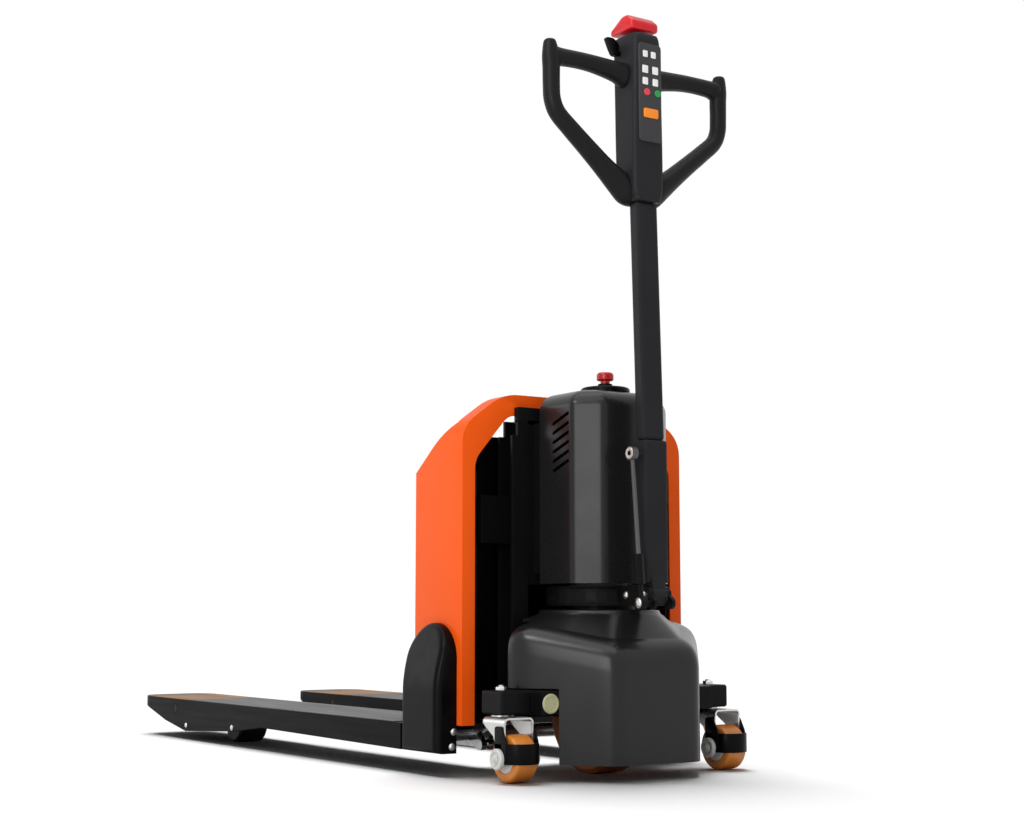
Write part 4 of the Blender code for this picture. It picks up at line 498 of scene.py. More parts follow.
def lights_only(light, ground, wanted):
    """Keeps a light on the floor alone, or on everything but the floor."""
    group = bpy.data.collections.new(light.name + "_floor")
    group.objects.link(ground)
    group.collection_objects[0].light_linking.link_state = "INCLUDE" if wanted else "EXCLUDE"
    light.light_linking.receiver_collection = group


def lamp(name, spot, target, width, tall, power):
    """Soft rectangular lamp at a spot, facing its target."""
    data = bpy.data.lights.new(name, "AREA")
    data.shape = "RECTANGLE"
    data.size = width
    data.size_y = tall
    data.energy = power
    made = bpy.data.objects.new(name, data)
    made.location = spot
    made.rotation_euler = (Vector(target) - Vector(spot)).to_track_quat("-Z", "Y").to_euler()
    bpy.context.scene.collection.objects.link(made)
    return made


def sun(name, way, spread, power):
    """Very soft even light from a direction, the same everywhere."""
    data = bpy.data.lights.new(name, "SUN")
    data.angle = math.radians(spread)
    data.energy = power
    made = bpy.data.objects.new(name, data)
    made.rotation_euler = Vector(way).to_track_quat("-Z", "Y").to_euler()
    bpy.context.scene.collection.objects.link(made)
    return made


def seen_by_eye(nodes, links):
    """1 on camera, glossy and transmission rays, 0 on the rays that carry light."""
    path = nodes.new("ShaderNodeLightPath")
    value = path.outputs["Is Camera Ray"]
    for ray in ("Is Glossy Ray", "Is Transmission Ray"):
        either = nodes.new("ShaderNodeMath")
        either.operation = "MAXIMUM"
        links.new(value, either.inputs[0])
        links.new(path.outputs[ray], either.inputs[1])
        value = either.outputs["Value"]
    return value


def studio(ambient):
    """White surroundings that light the truck with only an ambient share of their strength."""
    world = bpy.data.worlds.new("studio")
    bpy.context.scene.world = world
    world.use_nodes = True
    nodes, links = world.node_tree.nodes, world.node_tree.links
    level = nodes.new("ShaderNodeMapRange")
    level.inputs["To Min"].default_value = ambient
    level.inputs["To Max"].default_value = 1.0
    links.new(seen_by_eye(nodes, links), level.inputs["Value"])
    background = nodes["Background"]
    background.inputs["Color"].default_value = (1.0, 1.0, 1.0, 1.0)
    links.new(level.outputs["Result"], background.inputs["Strength"])


def floor(wide, drop):
    """Plain matt white floor, wide each way and a little drop under the wheels."""
    made = bpy.data.materials.new("floor_white")
    made.use_nodes = True
    matt = made.node_tree.nodes["Principled BSDF"]
    matt.inputs["Base Color"].default_value = (0.90, 0.90, 0.90, 1.0)
    matt.inputs["Roughness"].default_value = 0.9
    matt.inputs["Specular IOR Level"].default_value = 0.0
    corners = [(-wide, -wide, -drop), (wide, -wide, -drop), (wide, wide, -drop), (-wide, wide, -drop)]
    mesh = bpy.data.meshes.new("floor")
    mesh.from_pydata(corners, [], [(0, 1, 2, 3)])
    mesh.materials.append(made)
    ground = bpy.data.objects.new("floor", mesh)
    bpy.context.scene.collection.objects.link(ground)
    return ground


def camera(spot, tip, turn, lens):
    """Low camera off the operator's rear left quarter, tipped up a little; angles in degrees, lens in
    millimetres."""
    data = bpy.data.cameras.new("camera")
    data.sensor_fit = "HORIZONTAL"
    data.sensor_width = 36.0
    data.lens = lens
    data.clip_end = 100.0
    made = bpy.data.objects.new("camera", data)
    made.location = np.add(spot, (0.0, STEER_Y, 0.0))
    made.rotation_euler = (math.radians(tip), 0.0, math.radians(turn))
    bpy.context.scene.collection.objects.link(made)
    bpy.context.scene.camera = made


# Covers on the chassis

def nose_plan(rear, rear_half, half, corner, crisp, inset):
    """Plan about the steering axis: a polygon of rear, slanted flanks, sides and front, each at its
    distance less the inset, blended by
    radius = (sum of (cos(angle - facing) / distance)^crisp)^(-1/crisp)."""
    run = np.array([half - rear_half, rear - corner])
    run = run / np.linalg.norm(run)
    slant = math.atan2(-run[0], run[1])
    reach = rear_half * math.cos(slant) - rear * math.sin(slant)
    faces = np.array([-math.pi / 2, slant, math.pi - slant, 0.0, math.pi, math.pi / 2])
    away = np.array([rear, reach, reach, half, half, half])
    inset = np.asarray(inset, float)[:, None, None]
    lean = np.clip(np.cos(PLAN_ANGLES[:, None] - faces), 0.0, None)[None] / (away - inset)
    radius = (lean ** crisp).sum(-1) ** (-1 / crisp)
    return np.stack([radius * np.cos(PLAN_ANGLES), radius * np.sin(PLAN_ANGLES)], -1)


def lower_skirt():
    """Wall of the nose plan, carried up over a shoulder whose rim dips to the rear and in to a round
    neck, then back down inside by the wall's thickness."""
    wall = 0.004
    neck = 0.0926
    shape = (0.160, 0.085, 0.190, 0.030, 34.0)
    steps = eased([(0.0, -0.042), (0.0004, -0.028), (0.0030, -0.013), (0.0095, -0.001), (0.0195, 0.0065),
                   (0.0320, 0.0115)], 5)

    def wall_rows(offset):
        """Rows from the foot over the shoulder, drawn in and lowered by an offset."""
        plan = nose_plan(*shape, steps[:, 0] + offset)
        share = np.clip((plan[..., 1] + 0.160) / 0.130, 0.0, 1.0)
        rim = 0.205 + 0.030 * share
        rows = np.concatenate([plan, (rim + steps[:, 1:2] - offset)[..., None]], -1)
        foot = np.concatenate([nose_plan(*shape, np.full(2, offset)), np.zeros((2, PLAN_STEPS, 1))], -1)
        foot[..., 2] = np.array([0.025, 0.060])[:, None]
        return np.concatenate([foot, rows])

    def neck_rows(sizes):
        """Circles of (radius, height) on the plan's own angles."""
        radius, level = np.array(sizes).T[..., None]
        return np.stack(np.broadcast_arrays(radius * np.cos(PLAN_ANGLES), radius * np.sin(PLAN_ANGLES),
                                            level), -1)

    lip = corner_arc((neck + 0.006, 0.266), 0.004, 20, 90, 4)
    rise = [(neck + 0.016, 0.2605), (neck + 0.0115, 0.2635)]
    edge = [(neck + 0.0008, 0.270), (neck, 0.2692)]
    outer = neck_rows(rise + lip.tolist() + edge)
    inner = neck_rows([(neck, 0.2605), (neck + wall, 0.258)])
    cutters = [block((-0.25, 0.045, -0.02), (0.25, 0.25, 0.30))]
    for _, side in SIDES:
        cutters.append(turned([(0.001, -0.02), (0.0928, -0.02), (0.0928, 0.100), (0.001, 0.100)],
                              (side * CASTER_X, CASTER_Y, 0.0), "Z"))
        inside, outside = sorted((side * 0.1315, side * 0.25))
        cutters.append(block((inside, -0.0865, 0.090), (outside, 0.050, 0.1445)))
        inside, outside = sorted((side * 0.1250, side * 0.25))
        cutters.append(block((inside, -0.008, -0.02), (outside, 0.060, 0.30)))
    rows = np.concatenate([wall_rows(0.0), outer, inner, wall_rows(wall)[::-1]])
    place("skirt_shell", "chassis", "skirt_plastic", SKIRT_PLASTIC, skin(rows, closed=True),
          ["lower_skirt"], cutters, 40.0)


def upper_cover():
    """Wall of a narrower nose plan, rolled over at the top by a long quarter round and carried in to a
    small hole under the cap, then back down inside; slanted slots are cut through each side."""
    shape = (0.100, 0.062, 0.100, 0.062, 64.0)
    turn = np.linspace(0.0, math.pi / 2, 14)
    inset = np.concatenate([[0.0, 0.0, 0.0], 0.040 * (1 - np.cos(turn)), [0.056, 0.072, 0.090]])
    level = np.concatenate([[0.313, 0.40, 0.55], 0.603 + 0.0315 * np.sin(turn), [0.6347, 0.6348, 0.6348]])

    def rows(offset):
        """Rows from the foot to the hole, drawn in by an offset and lowered by it at the top."""
        plan = nose_plan(*shape, inset * (1 - offset / 0.1) + offset)
        tall = np.broadcast_to((level - offset * (level > 0.56))[:, None, None], plan.shape[:2] + (1,))
        return np.concatenate([plan, tall], -1)

    cutters = [block((-0.15, 0.030, 0.30), (0.15, 0.20, 0.70))]
    lean = np.array([-math.cos(math.radians(19.0)), math.sin(math.radians(19.0))])
    across = np.array([-lean[1], lean[0]])
    ends = np.concatenate([corner_arc((0.022, 0.0), 0.003, -90, 90, 7),
                           corner_arc((-0.022, 0.0), 0.003, 90, 270, 7)])
    for step in range(6):
        slot = (-0.031, 0.586 - 0.0158 * step) + ends[:, :1] * lean + ends[:, 1:] * across
        for _, side in SIDES:
            low, high = sorted((side * 0.088, side * 0.13))
            cutters.append(pad(slot, low, high, 0.0001, "X"))
    surface = skin(np.concatenate([rows(0.0), rows(0.003)[::-1]]), closed=True)
    place("cover_shell", "chassis", "black_plastic", COVER_PLASTIC, surface, ["upper_cover"], cutters,
          40.0)


def emergency_stop():
    """Turned cap with a rolled lip, plain collar ring and mushroom button, each a profile about the
    stop's axis."""
    centre = (0.0, -0.022, 0.0)
    bore = 0.0086
    cap = [(bore, 0.6355)] + corner_arc((0.0408, 0.6367), 0.0012, -90, 0, 4).tolist()
    cap += corner_arc((0.037, 0.640), 0.005, 0, 90, 8).tolist()
    cap += [(0.030, 0.6449), (0.0285, 0.6440), (bore, 0.6440)]
    place("stop_cap", "chassis", "black_plastic", GUARD_PLASTIC, hoop(cap, centre, "Z"), ["cover_cap"])
    ring = [(bore, 0.6453)] + corner_arc((0.0118, 0.6460), 0.0007, -90, 0, 3).tolist()
    ring += corner_arc((0.0113, 0.6508), 0.0012, 0, 90, 5).tolist() + [(bore, 0.652)]
    place("stop_ring", "chassis", "black_plastic", GUARD_PLASTIC, hoop(ring, centre, "Z"),
          ["stop_collar"])
    head = [(0.0005, 0.641), (0.008, 0.641), (0.008, 0.6575), (0.0118, 0.6575)]
    head += corner_arc((0.0125, 0.6600), 0.0020, -80, 0, 5).tolist()
    head += corner_arc((0.0085, 0.6660), 0.0060, 0, 62, 8).tolist()
    head += [(0.0085, 0.6716), (0.004, 0.6720), (0.0005, 0.6720)]
    place("stop_mushroom", "stop_button", "red_plastic", STOP_RED, turned(head, centre, "Z"),
          ["stop_button"])


# Guards over the fork roots, and the orange frame

def zipped(surface, around):
    """Surface whose last ring is closed straight across, each point to its mirror, in place of its
    fan."""
    points, faces = surface
    fan, faces = faces[-around:], faces[:-around]
    ring = [face[1] for face in fan] if fan[0][0] == len(points) - 1 else [face[1] for face in fan][::-1]
    half = around // 2
    strips = [[ring[i], ring[i + 1], ring[-2 - i], ring[-1 - i]] for i in range(half - 1)]
    strips.append([ring[half - 1], ring[half], ring[half + 1]])
    return points[:-1], faces + strips


def heel_guards():
    """Arch drawn in by a growing inset, flat at the foot and half round at the top; each ring stands out
    by a quarter round near the edge, and by less above a height, so that the cap leans in to its top."""
    turn = np.linspace(0.0, math.pi / 2, 10)
    inset = np.concatenate([[0.0, 0.0], 0.012 * (1 - np.cos(turn)), np.linspace(0.016, 0.0575, 9)])
    level = np.concatenate([[0.0, 0.016], 0.0265 + 0.0130 * np.sin(turn), np.full(9, 0.0395)])
    sweep = np.linspace(0.0, math.pi, 49)
    rise = np.linspace(0.0, 1.0, 24, endpoint=False)
    wide, tall = 0.0586, 0.248
    half = (wide - inset)[:, None]
    foot = (0.036 + inset * 0.6)[:, None]
    spring = tall - wide
    right = np.stack([np.broadcast_to(half, (len(inset), len(rise))), foot + (spring - foot) * rise], -1)
    over = np.stack([half * np.cos(sweep), spring + half * np.sin(sweep)], -1)
    left = right[:, ::-1] * (-1.0, 1.0)
    flat = np.concatenate([right, over, left], 1) + (0.1386, 0.0)
    climb = np.clip((flat[..., 1:] - 0.140) / 0.108, 0.0, 1.0)
    out = level[:, None, None] * (1 - 0.68 * climb ** 1.6)
    for name, side in SIDES:
        rows = np.concatenate([flat, side * (0.2323 + out)], -1)
        surface = zipped(skin(facing(rows, "X")), flat.shape[1])
        place("heel_cap_" + name, "carriage", "black_plastic", GUARD_PLASTIC, surface,
              ["heel_guard_" + name], angle=50.0)


def arch_frame():
    """Folded frame: a softened house outline through the depth, less the window behind, the hollow inside
    its sheet and the slope off its front top."""
    half, foot = 0.232, 0.0813
    outer = softened(mirrored([(half, foot), (half, 0.575), (0.150, 0.634)]), 0.030, 9)
    outer = np.concatenate([[(half, foot)], outer[outer[:, 1] > 0.12], [(-half, foot)]])
    window = softened(mirrored([(0.207, 0.02), (0.207, 0.520), (0.140, 0.598)]), 0.016, 7)
    hollow = softened(mirrored([(0.228, 0.02), (0.228, 0.5731), (0.1484, 0.630)]), 0.028, 9)
    slope = np.array([(0.30, 0.4445), (0.30, 0.70), (0.105, 0.70), (0.105, 0.585)])
    cutters = [pad(window, 0.03, 0.25, 0.0001, "Y"), pad(hollow, 0.069, 0.212, 0.0001, "Y"),
               pad(slope, -0.30, 0.30, 0.0001, "X")]
    surface = pad(outer, 0.065, 0.216, 0.0001, "Y")
    place("arch_sheet", "carriage", "orange_paint", ORANGE_PAINT, surface, ["arch_frame"], cutters, 30.0,
          0.0016)


# Tiller head

def limb(stations, level, side):
    """Oval bar in a plane of constant y: stations of (x, z, half depth, half height) are eased, and each
    becomes a ring whose depth lies along y and whose height lies square to the run."""
    rows = eased(stations, 7)
    path = np.stack([side * rows[:, 0], np.full(len(rows), level), rows[:, 1]], -1)
    run = np.gradient(path, axis=0)
    run /= np.linalg.norm(run, axis=1, keepdims=True)
    up = np.cross(run, (0.0, 1.0, 0.0))
    angle = np.linspace(0.0, TAU, 36, endpoint=False)
    depth = rows[:, None, 2:3] * np.cos(angle)[None, :, None] * np.array([0.0, 1.0, 0.0])
    height = rows[:, None, 3:4] * np.sin(angle)[None, :, None] * up[:, None]
    return skin(path[:, None] + depth + height)


def handle_loops():
    """Outer bar from its horn down and in to the foot of the head, and the grip bar that meets it, both
    swelling where they run into the column."""
    outer = [(0.1815, 1.1990, 0.004, 0.004), (0.1814, 1.1965, 0.0098, 0.0090),
             (0.1806, 1.188, 0.0125, 0.0118), (0.1790, 1.170, 0.0145, 0.0148),
             (0.1782, 1.150, 0.0145, 0.0146), (0.1780, 1.122, 0.0145, 0.0142),
             (0.1762, 1.098, 0.0145, 0.0142), (0.1660, 1.0765, 0.0145, 0.0145),
             (0.1400, 1.0540, 0.0150, 0.0150), (0.1050, 1.0260, 0.0160, 0.0160),
             (0.0720, 0.9995, 0.0175, 0.0180), (0.0450, 0.9790, 0.0200, 0.0215),
             (0.0240, 0.9640, 0.0210, 0.0240), (0.0080, 0.9560, 0.0150, 0.0180)]
    grip = [(0.1790, 1.1690, 0.0120, 0.0120), (0.1700, 1.1705, 0.0150, 0.0175),
            (0.1580, 1.1720, 0.0148, 0.0150), (0.1300, 1.1730, 0.0145, 0.0142),
            (0.1000, 1.1725, 0.0148, 0.0146), (0.0700, 1.1700, 0.0160, 0.0160),
            (0.0450, 1.1670, 0.0175, 0.0182), (0.0280, 1.1635, 0.0190, 0.0215),
            (0.0100, 1.1610, 0.0150, 0.0170)]
    level = -0.118
    for name, side in SIDES:
        surface = together(limb(outer, level, side), limb(grip, level, side))
        place("grip_loop_" + name, "tiller", "soft_grip", GRIP_PLASTIC, surface, ["handle_loop_" + name],
              angle=60.0)


def head_column():
    """Rounded oblong sections stacked up the head: wide at the foot, narrower and deeper towards the top,
    with a drawn in collar at the tube and a soft crown."""
    # height, half width, rear y, front y
    rows = eased([(0.9455, 0.0240, -0.1480, -0.1060), (0.9470, 0.0262, -0.1492, -0.1035),
                  (0.9540, 0.0270, -0.1498, -0.1020), (0.9570, 0.0290, -0.1500, -0.0985),
                  (0.9800, 0.0312, -0.1502, -0.0945), (1.0400, 0.0314, -0.1503, -0.0920),
                  (1.1200, 0.0302, -0.1503, -0.0890), (1.1900, 0.0286, -0.1503, -0.0855),
                  (1.2200, 0.0276, -0.1492, -0.0840), (1.2318, 0.0262, -0.1465, -0.0850),
                  (1.2349, 0.0235, -0.1435, -0.0880), (1.2355, 0.0190, -0.1390, -0.0920)], 5)
    unit = rounded_box_outline(1.0, 1.0, 0.30, 9)
    half = np.stack([rows[:, 1], (rows[:, 3] - rows[:, 2]) / 2], -1)
    middle = np.stack([np.zeros(len(rows)), (rows[:, 3] + rows[:, 2]) / 2], -1)
    plan = middle[:, None] + unit[None] * half[:, None]
    tall = np.broadcast_to(rows[:, :1, None], plan.shape[:2] + (1,))
    bore = turned([(0.0005, 1.200), (0.0068, 1.200), (0.0068, 1.260), (0.0005, 1.260)],
                  (0.0, BELLY_STEM_Y, 0.0), "Z")
    place("head_shell", "tiller", "black_plastic", HEAD_PLASTIC, skin(np.concatenate([plan, tall], -1)),
          ["head_column"], [bore], 50.0)


def key_pads():
    """Panel face and six plain key pads in pairs under the crown of the head, each a soft-edged oblong."""
    face = rounded_box_outline(0.0232, 0.0845, 0.006) + (0.0, 1.130)
    bores = [turned([(0.0003, -0.160), (0.0065, -0.160), (0.0065, -0.140), (0.0003, -0.140)],
                    (x, 0.0, ROUND_BUTTONS_Z), "Y") for x in (RED_X, GREEN_X)]
    amber = rounded_box_outline(0.0154, 0.0084, 0.0032) + (0.0, AMBER_Z)
    bores.append(pad(amber, -0.160, -0.140, 0.0001, "Y"))
    plate = pad(face, -0.1538, -0.1498, 0.0008, "Y")
    place("panel_plate", "tiller", "grey_panel", PANEL_FACE, plate, ["key_panel"], bores)
    pads = []
    for z, half, xs in ((1.1955, 0.0050, (-0.0108, 0.0062)), (1.1690, 0.0060, (-0.0112, 0.0100)),
                        (1.1485, 0.0056, (-0.0112, 0.0100))):
        for x in xs:
            outline = rounded_box_outline(half, half + 0.0006, 0.0018) + (x, z)
            pads.append(pad(outline, -0.1549, -0.1536, 0.0006, "Y"))
    place("key_pads", "tiller", "grey_panel", KEY_WHITE, together(*pads))


def push_buttons():
    """Red and green turned buttons with a dished face, and the amber oblong one below them."""
    for name, x, finish, slot in (("red", RED_X, BUTTON_RED, "red_plastic"),
                                  ("green", GREEN_X, BUTTON_GREEN, "green_plastic")):
        low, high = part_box(name + "_button")
        start, end = -(high[1] - STEER_Y), -(low[1] - STEER_Y)
        line = [(0.0003, start), (0.0060, start), (0.0060, end - 0.0010)]
        line += corner_arc((0.0050, end - 0.0010), 0.0010, 0, 90, 5).tolist()
        line += [(0.0030, end - 0.0004), (0.0003, end - 0.0005)]
        rows = ring_line([(radius, -along) for radius, along in line], (x, 0.0, ROUND_BUTTONS_Z), "Y")
        place(name + "_cap", name + "_button", slot, finish, skin(rows), [name + "_button"])
    low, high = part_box("amber_button")
    outline = rounded_box_outline(0.0150, 0.0080, 0.0030) + (0.0, AMBER_Z)
    place("amber_cap", "amber_button", "amber_plastic", BUTTON_AMBER,
          pad(outline, low[1] - STEER_Y, high[1] - STEER_Y, 0.0010, "Y"), ["amber_button"])


def belly_switch():
    """Wedge with its ridge to the rear: a softened outline in y and z, drawn in at both ends."""
    low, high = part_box("belly_switch")
    crown = high[2]
    outline = softened([(-0.1412, crown - 0.0285), (-0.0800, crown - 0.0285), (-0.0795, crown - 0.0215),
                        (-0.1120, crown - 0.0010), (-0.1260, crown - 0.0008), (-0.1415, crown - 0.0140)],
                        0.0045)
    wedge = pad(outline, -0.0285, 0.0285, 0.0050, "X")
    stem = turned([(0.0005, low[2]), (0.0060, low[2]), (0.0060, crown - 0.020), (0.0005, crown - 0.020)],
                  (0.0, BELLY_STEM_Y, 0.0), "Z")
    place("belly_pad", "belly_switch", "red_plastic", BELLY_RED, together(wedge, stem), ["belly_switch"],
          angle=50.0)


def thumb_paddles():
    """Fin on each side of the head, wide at its outer top, on the shaft that crosses the head."""
    low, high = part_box("thumb_paddles")
    y = (low[1] + high[1]) / 2 - STEER_Y
    half = (high[1] - low[1]) / 2 - 0.0004
    fins = []
    for _, side in SIDES:
        fin = softened([(0.0316, 1.1990), (0.0430, 1.1995), (0.0500, 1.2120), (0.0578, 1.2290),
                        (0.0440, 1.2292), (0.0316, 1.2200)], 0.0035)
        fins.append(pad(fin * (side, 1.0), y - half, y + half, 0.0030, "Y"))
    shaft = turned([(0.0005, -0.034), (0.0045, -0.034), (0.0045, 0.034), (0.0005, 0.034)],
                   (0.0, y, 1.205), "X")
    place("paddle_fins", "thumb_paddles", "black_plastic", GUARD_PLASTIC, together(*fins, shaft),
          ["thumb_paddles"], angle=50.0)


# Swivel casters

def bent(stations, unit):
    """Strip carried along stations of (x, y, z, half depth, half thickness), with an outline of unit size
    whose first axis lies along y and whose second lies square to the run."""
    rows = np.asarray(stations, float)
    path = rows[:, :3]
    run = np.gradient(path, axis=0) * (1.0, 0.0, 1.0)
    run /= np.linalg.norm(run, axis=1, keepdims=True)
    up = np.cross(run, (0.0, 1.0, 0.0))
    depth = rows[:, None, 3:4] * unit[None, :, :1] * np.array([0.0, 1.0, 0.0])
    thick = rows[:, None, 4:5] * unit[None, :, 1:] * up[:, None]
    return skin(path[:, None] + depth + thick)


def nut(centre, axis, start, end, radius):
    """Six-sided nut: the turned profile's radius is divided by the cosine to the nearest flat, with a
    small chamfer."""
    edge = 0.12 * radius
    way = 1.0 if end > start else -1.0
    line = [(0.0004, start), (radius, start), (radius, end - way * edge), (radius - edge, end),
            (radius * 0.5, end), (radius * 0.5, end + way * edge * 2), (0.0004, end + way * edge * 2.6)]
    angle = np.linspace(0.0, TAU, 48, endpoint=False)
    flat = math.cos(math.pi / 6) / np.cos((angle + math.pi / 6) % (math.pi / 3) - math.pi / 6)
    profile = np.asarray(line, float)
    six = np.where((profile[:, :1] > radius * 0.6), flat[None], 1.0) * profile[:, :1]
    rows = np.stack([six * np.cos(angle), six * np.sin(angle),
                     np.broadcast_to(profile[:, 1:], six.shape)], -1)
    return skin(facing(rows, axis) + np.asarray(centre, float))


def casters():
    """Zinc fork bent over the wheel, its stem and nut, the wheel with a rounded tread and hub discs, the
    caps on the axle's ends, and the black guard: a band that goes round behind the wheel, and black side
    sheets beside the wheel over the outsides of the fork's legs, which are painted shade for the shade
    that falls on the legs."""
    for name, side in SIDES:
        x, y, axle = side * CASTER_X, CASTER_Y, CASTER_AXLE_Y
        leg, top_y, thick, guard = 0.02625, -0.0465, 0.00175, 0.0298
        lean = [(leg, axle, 0.0265, 0.0070), (leg, axle, 0.0300, 0.0100),
                (leg, axle, 0.0400, 0.0118), (leg, -0.0655, 0.0560, 0.0120),
                (leg, -0.0610, 0.0720, 0.0160), (leg, -0.0500, 0.0850, 0.0265),
                (leg, top_y, 0.0915, 0.0310)]
        bend = [(0.01945 + 0.0068 * math.cos(turn), top_y, 0.0926 + 0.0068 * math.sin(turn), 0.0312)
                for turn in np.linspace(0.12, math.pi / 2, 8)]
        half = lean + bend + [(0.008, top_y, 0.0994, 0.0312)]
        near = [(x - a, b, c, d, thick) for a, b, c, d in half]
        far = [(x + a, b, c, d, thick) for a, b, c, d in half[::-1]]
        fork = bent(near + far, rounded_box_outline(1.0, 1.0, 0.16, 5))
        stem = turned([(0.0004, 0.0990), (0.0165, 0.0990), (0.0165, 0.1030), (0.0060, 0.1034),
                       (0.0058, 0.1440), (0.0004, 0.1440)], (x, y, 0.0), "Z")
        top = nut((x, y, 0.0), "Z", 0.1423, 0.1480, 0.0088)
        place("caster_yoke_" + name, "caster_" + name, "zinc", ZINC, together(fork, stem, top),
              ["caster_fork_" + name], angle=50.0)
        ends = []
        for sign in (-1, 1):
            ends.append(hoop([(0.0060, sign * 0.0305), (0.0165, sign * 0.0305), (0.0165, sign * 0.0360),
                              (0.0150, sign * 0.0378), (0.0112, sign * 0.0378), (0.0104, sign * 0.0362),
                              (0.0060, sign * 0.0362)], (x, axle, CASTER_AXLE_Z), "X"))
            ends.append(nut((x, axle, CASTER_AXLE_Z), "X", sign * 0.0355, sign * 0.0392, 0.0074))
        place("caster_axle_" + name, "caster_" + name, "zinc", HUB_GREY, together(*ends))
        tread = corner_arc((0.0325, 0.0150), 0.0050, 90, 0, 6)
        line = [(0.0063, 0.0185), (0.0230, 0.0185), (0.0245, 0.0200)] + tread.tolist()
        line += [(r, -a) for r, a in line[::-1]]
        place("caster_tread_" + name, "caster_wheel_" + name, "orange_tyre", WHEEL_AMBER,
              hoop(line, (x, axle, CASTER_AXLE_Z), "X"), ["caster_wheel_" + name], angle=45.0)
        hubs = [hoop([(0.0066, sign * 0.0150), (0.0226, sign * 0.0150), (0.0226, sign * 0.0190),
                      (0.0210, sign * 0.0200), (0.0130, sign * 0.0190), (0.0105, sign * 0.0203),
                      (0.0066, sign * 0.0203)], (x, axle, CASTER_AXLE_Z), "X") for sign in (-1, 1)]
        place("caster_hubs_" + name, "caster_wheel_" + name, "motor_grey", HUB_GREY, together(*hubs))
        turn = np.linspace(math.pi, TAU, 28)
        bow = np.stack([x + guard * np.cos(turn), axle - 0.0130 + 0.0287 * np.sin(turn)], -1)
        legs = np.linspace(0.0, 1.0, 6)[:-1, None]
        ahead = axle + 0.0115
        front = np.array([[x - guard, ahead]]) * (1 - legs) + bow[:1] * legs
        back = bow[-1:] * (1 - legs[::-1]) + np.array([[x + guard, ahead]]) * legs[::-1]
        plan = np.concatenate([front, bow, back])
        path = np.concatenate([plan, np.full((len(plan), 1), 0.0460)], -1)
        band = skin(swept(path, rounded_box_outline(0.0160, 0.0015, 0.0010, 4), (0.0, 0.0, 1.0)))
        # Side sheets: black plates over the outsides of the fork's legs, painted shade for the shade on
        # the legs
        shape = softened([(axle - 0.0215, 0.0305), (ahead, 0.0305), (ahead, 0.0880),
                          (axle - 0.0080, 0.0880), (axle - 0.0215, 0.0640)], 0.006)
        sheets = [sorted((x + sign * 0.0284, x + sign * 0.0313)) for sign in (-1, 1)]
        shade_cheeks = [pad(shape, *sheet, 0.0008, "X") for sheet in sheets]
        place("caster_guard_and_shade_sides_" + name, "caster_" + name, "black_plastic", GUARD_PLASTIC,
              together(band, *shade_cheeks), ["caster_band_" + name], angle=50.0)


# Small fittings

def dome(centre, axis, start, way, radius, tall):
    """Round-headed bolt: a flat flange with a dome on it."""
    turn = np.linspace(0.0, math.pi / 2 - 0.02, 7)
    line = [(0.0004, start), (radius, start), (radius, start + way * tall * 0.3)]
    line += [(radius * 0.92 * math.cos(t), start + way * tall * (0.3 + 0.7 * math.sin(t))) for t in turn]
    return turned(line, centre, axis)


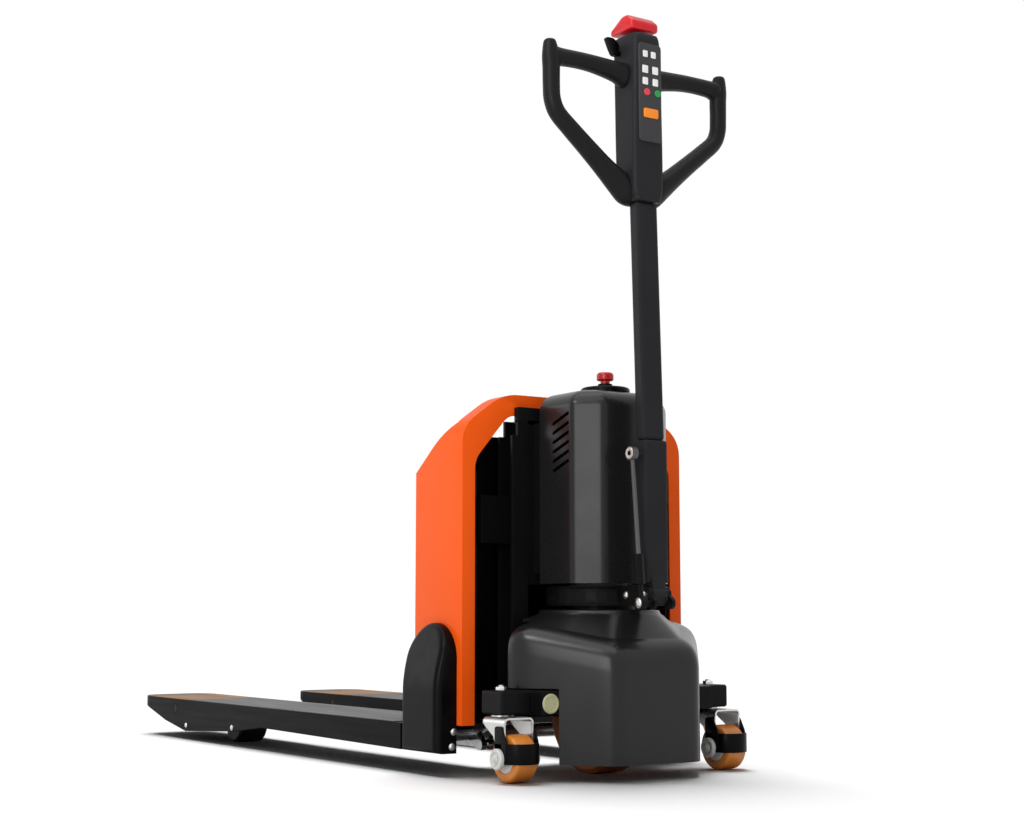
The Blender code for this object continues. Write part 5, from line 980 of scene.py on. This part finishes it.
def fittings():
    """Bolt heads, nuts, the gas spring's upper eye and a plug, each a turned or six-sided piece seated on
    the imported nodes."""
    sides = []
    for _, side in SIDES:
        sides += [dome((0.0, 1.101, 0.0290), "X", side * 0.2695, side, 0.0055, 0.0028),
                  dome((0.0, 0.872, 0.0360), "X", side * 0.2695, side, 0.0055, 0.0028),
                  dome((side * 0.2385, 0.0, 0.071), "Y", 0.0802, -1, 0.0058, 0.0040),
                  dome((side * 0.2415, 0.0, 0.047), "Y", 0.0802, -1, 0.0062, 0.0040)]
    place("carriage_bolts", "carriage", "zinc", ZINC, together(*sides))
    foot = [nut(TILLER_PIN, "X", -0.0217, -0.0282, 0.0092), nut(TILLER_PIN, "X", 0.0217, 0.0250, 0.0088),
            dome((0.0, -0.104, 0.2935), "X", -0.0217, -1, 0.0062, 0.0042),
            dome((0.0, -0.1718, 0.2804), "X", -0.0484, -1, 0.0080, 0.0040)]
    place("foot_bolts", "steer", "zinc", ZINC, together(*foot))
    eye = hoop([(0.0042, -0.0486), (0.0092, -0.0486), (0.0095, -0.0490), (0.0090, -0.0498),
                (0.0050, -0.0499), (0.0042, -0.0497)], SPRING_EYE, "X")
    place("spring_eye_ring", "tiller", "zinc", ZINC, eye)
    socket = turned([(0.0003, -0.0486), (0.0043, -0.0486), (0.0043, -0.0491), (0.0003, -0.0491)],
                    SPRING_EYE, "X")
    place("spring_eye_socket", "tiller", "black_paint", GUARD_PLASTIC, socket)
    plug = turned([(0.0004, 0.0846), (0.0150, 0.0846), (0.0158, 0.0862), (0.0150, 0.0878),
                   (0.0120, 0.0884), (0.0112, 0.0876), (0.0004, 0.0878)], (0.0, 0.0, 0.0), "Y")
    plug = (plug[0] * (1.0, -1.0, 1.0) + PLUG_SPOT, [face[::-1] for face in plug[1]])
    place("arm_plug", "chassis", "skirt_plastic", PLUG_OLIVE, plug)


def painted_shade_plates():
    """Painted shade: near-black plates standing inside the cover behind its slots, so that the slots show
    dark.
    """
    outline = rounded_box_outline(0.042, 0.068, 0.004) + (-0.018, 0.548)
    plates = []
    for _, side in SIDES:
        low, high = sorted((side * 0.0790, side * 0.0815))
        plates.append(pad(outline, low, high, 0.0006, "X"))
    place("slot_painted_shade_plates", "chassis", "black_plastic", CASE_PLASTIC, together(*plates))


def waist():
    """Turned band round the steering head between the two covers, and the dark cap along the mast's top
    edge."""
    drum = hoop([(0.080, 0.2768), (0.0876, 0.2768), (0.0884, 0.2778), (0.0884, 0.2850), (0.0872, 0.2862),
                 (0.0872, 0.2985), (0.0884, 0.2997), (0.0884, 0.3068), (0.0876, 0.3078), (0.080, 0.3078)],
                 (0.0, 0.0, 0.0), "Z")
    place("waist_band", "steer", "black_paint", BLACK_PAINT, drum, angle=40.0)
    cap = pad(rounded_box_outline(0.131, 0.015, 0.003) + (0.0, 0.597), 0.0506, 0.0616, 0.0010, "Y")
    place("mast_cap", "chassis", "black_paint", BLACK_PAINT, cap)


lower_skirt()
upper_cover()
emergency_stop()
heel_guards()
arch_frame()
handle_loops()
head_column()
key_pads()
push_buttons()
belly_switch()
thumb_paddles()
casters()
fittings()
painted_shade_plates()
waist()
dress_nodes()
studio(0.17)
ground = floor(30.0, 0.0006)
lights_only(sun("floor_sky", (-0.10, -0.36, -1.0), 40.0, 3.50), ground, True)
lights_only(sun("sky", (0.05, 0.10, -1.0), 60.0, 1.5), ground, False)
lights_only(lamp("key_lamp", (-2.45, -2.30, 1.1), (0.0, -0.6, 0.45), 1.1, 1.8, 35.0), ground, False)
lights_only(lamp("front_lamp", (-1.9, 1.9, 1.0), (0.0, -0.6, 0.45), 1.2, 1.6, 8.0), ground, False)
lights_only(lamp("top_lamp", (-1.55, -1.09, 2.04), (0.0, -0.6, 0.3), 0.45, 0.45, 13.0), ground, False)
camera((-1.7414, -2.3386, 0.2639), 96.793, -33.7905, 60.18)
bpy.context.scene.view_settings.view_transform = "Standard"
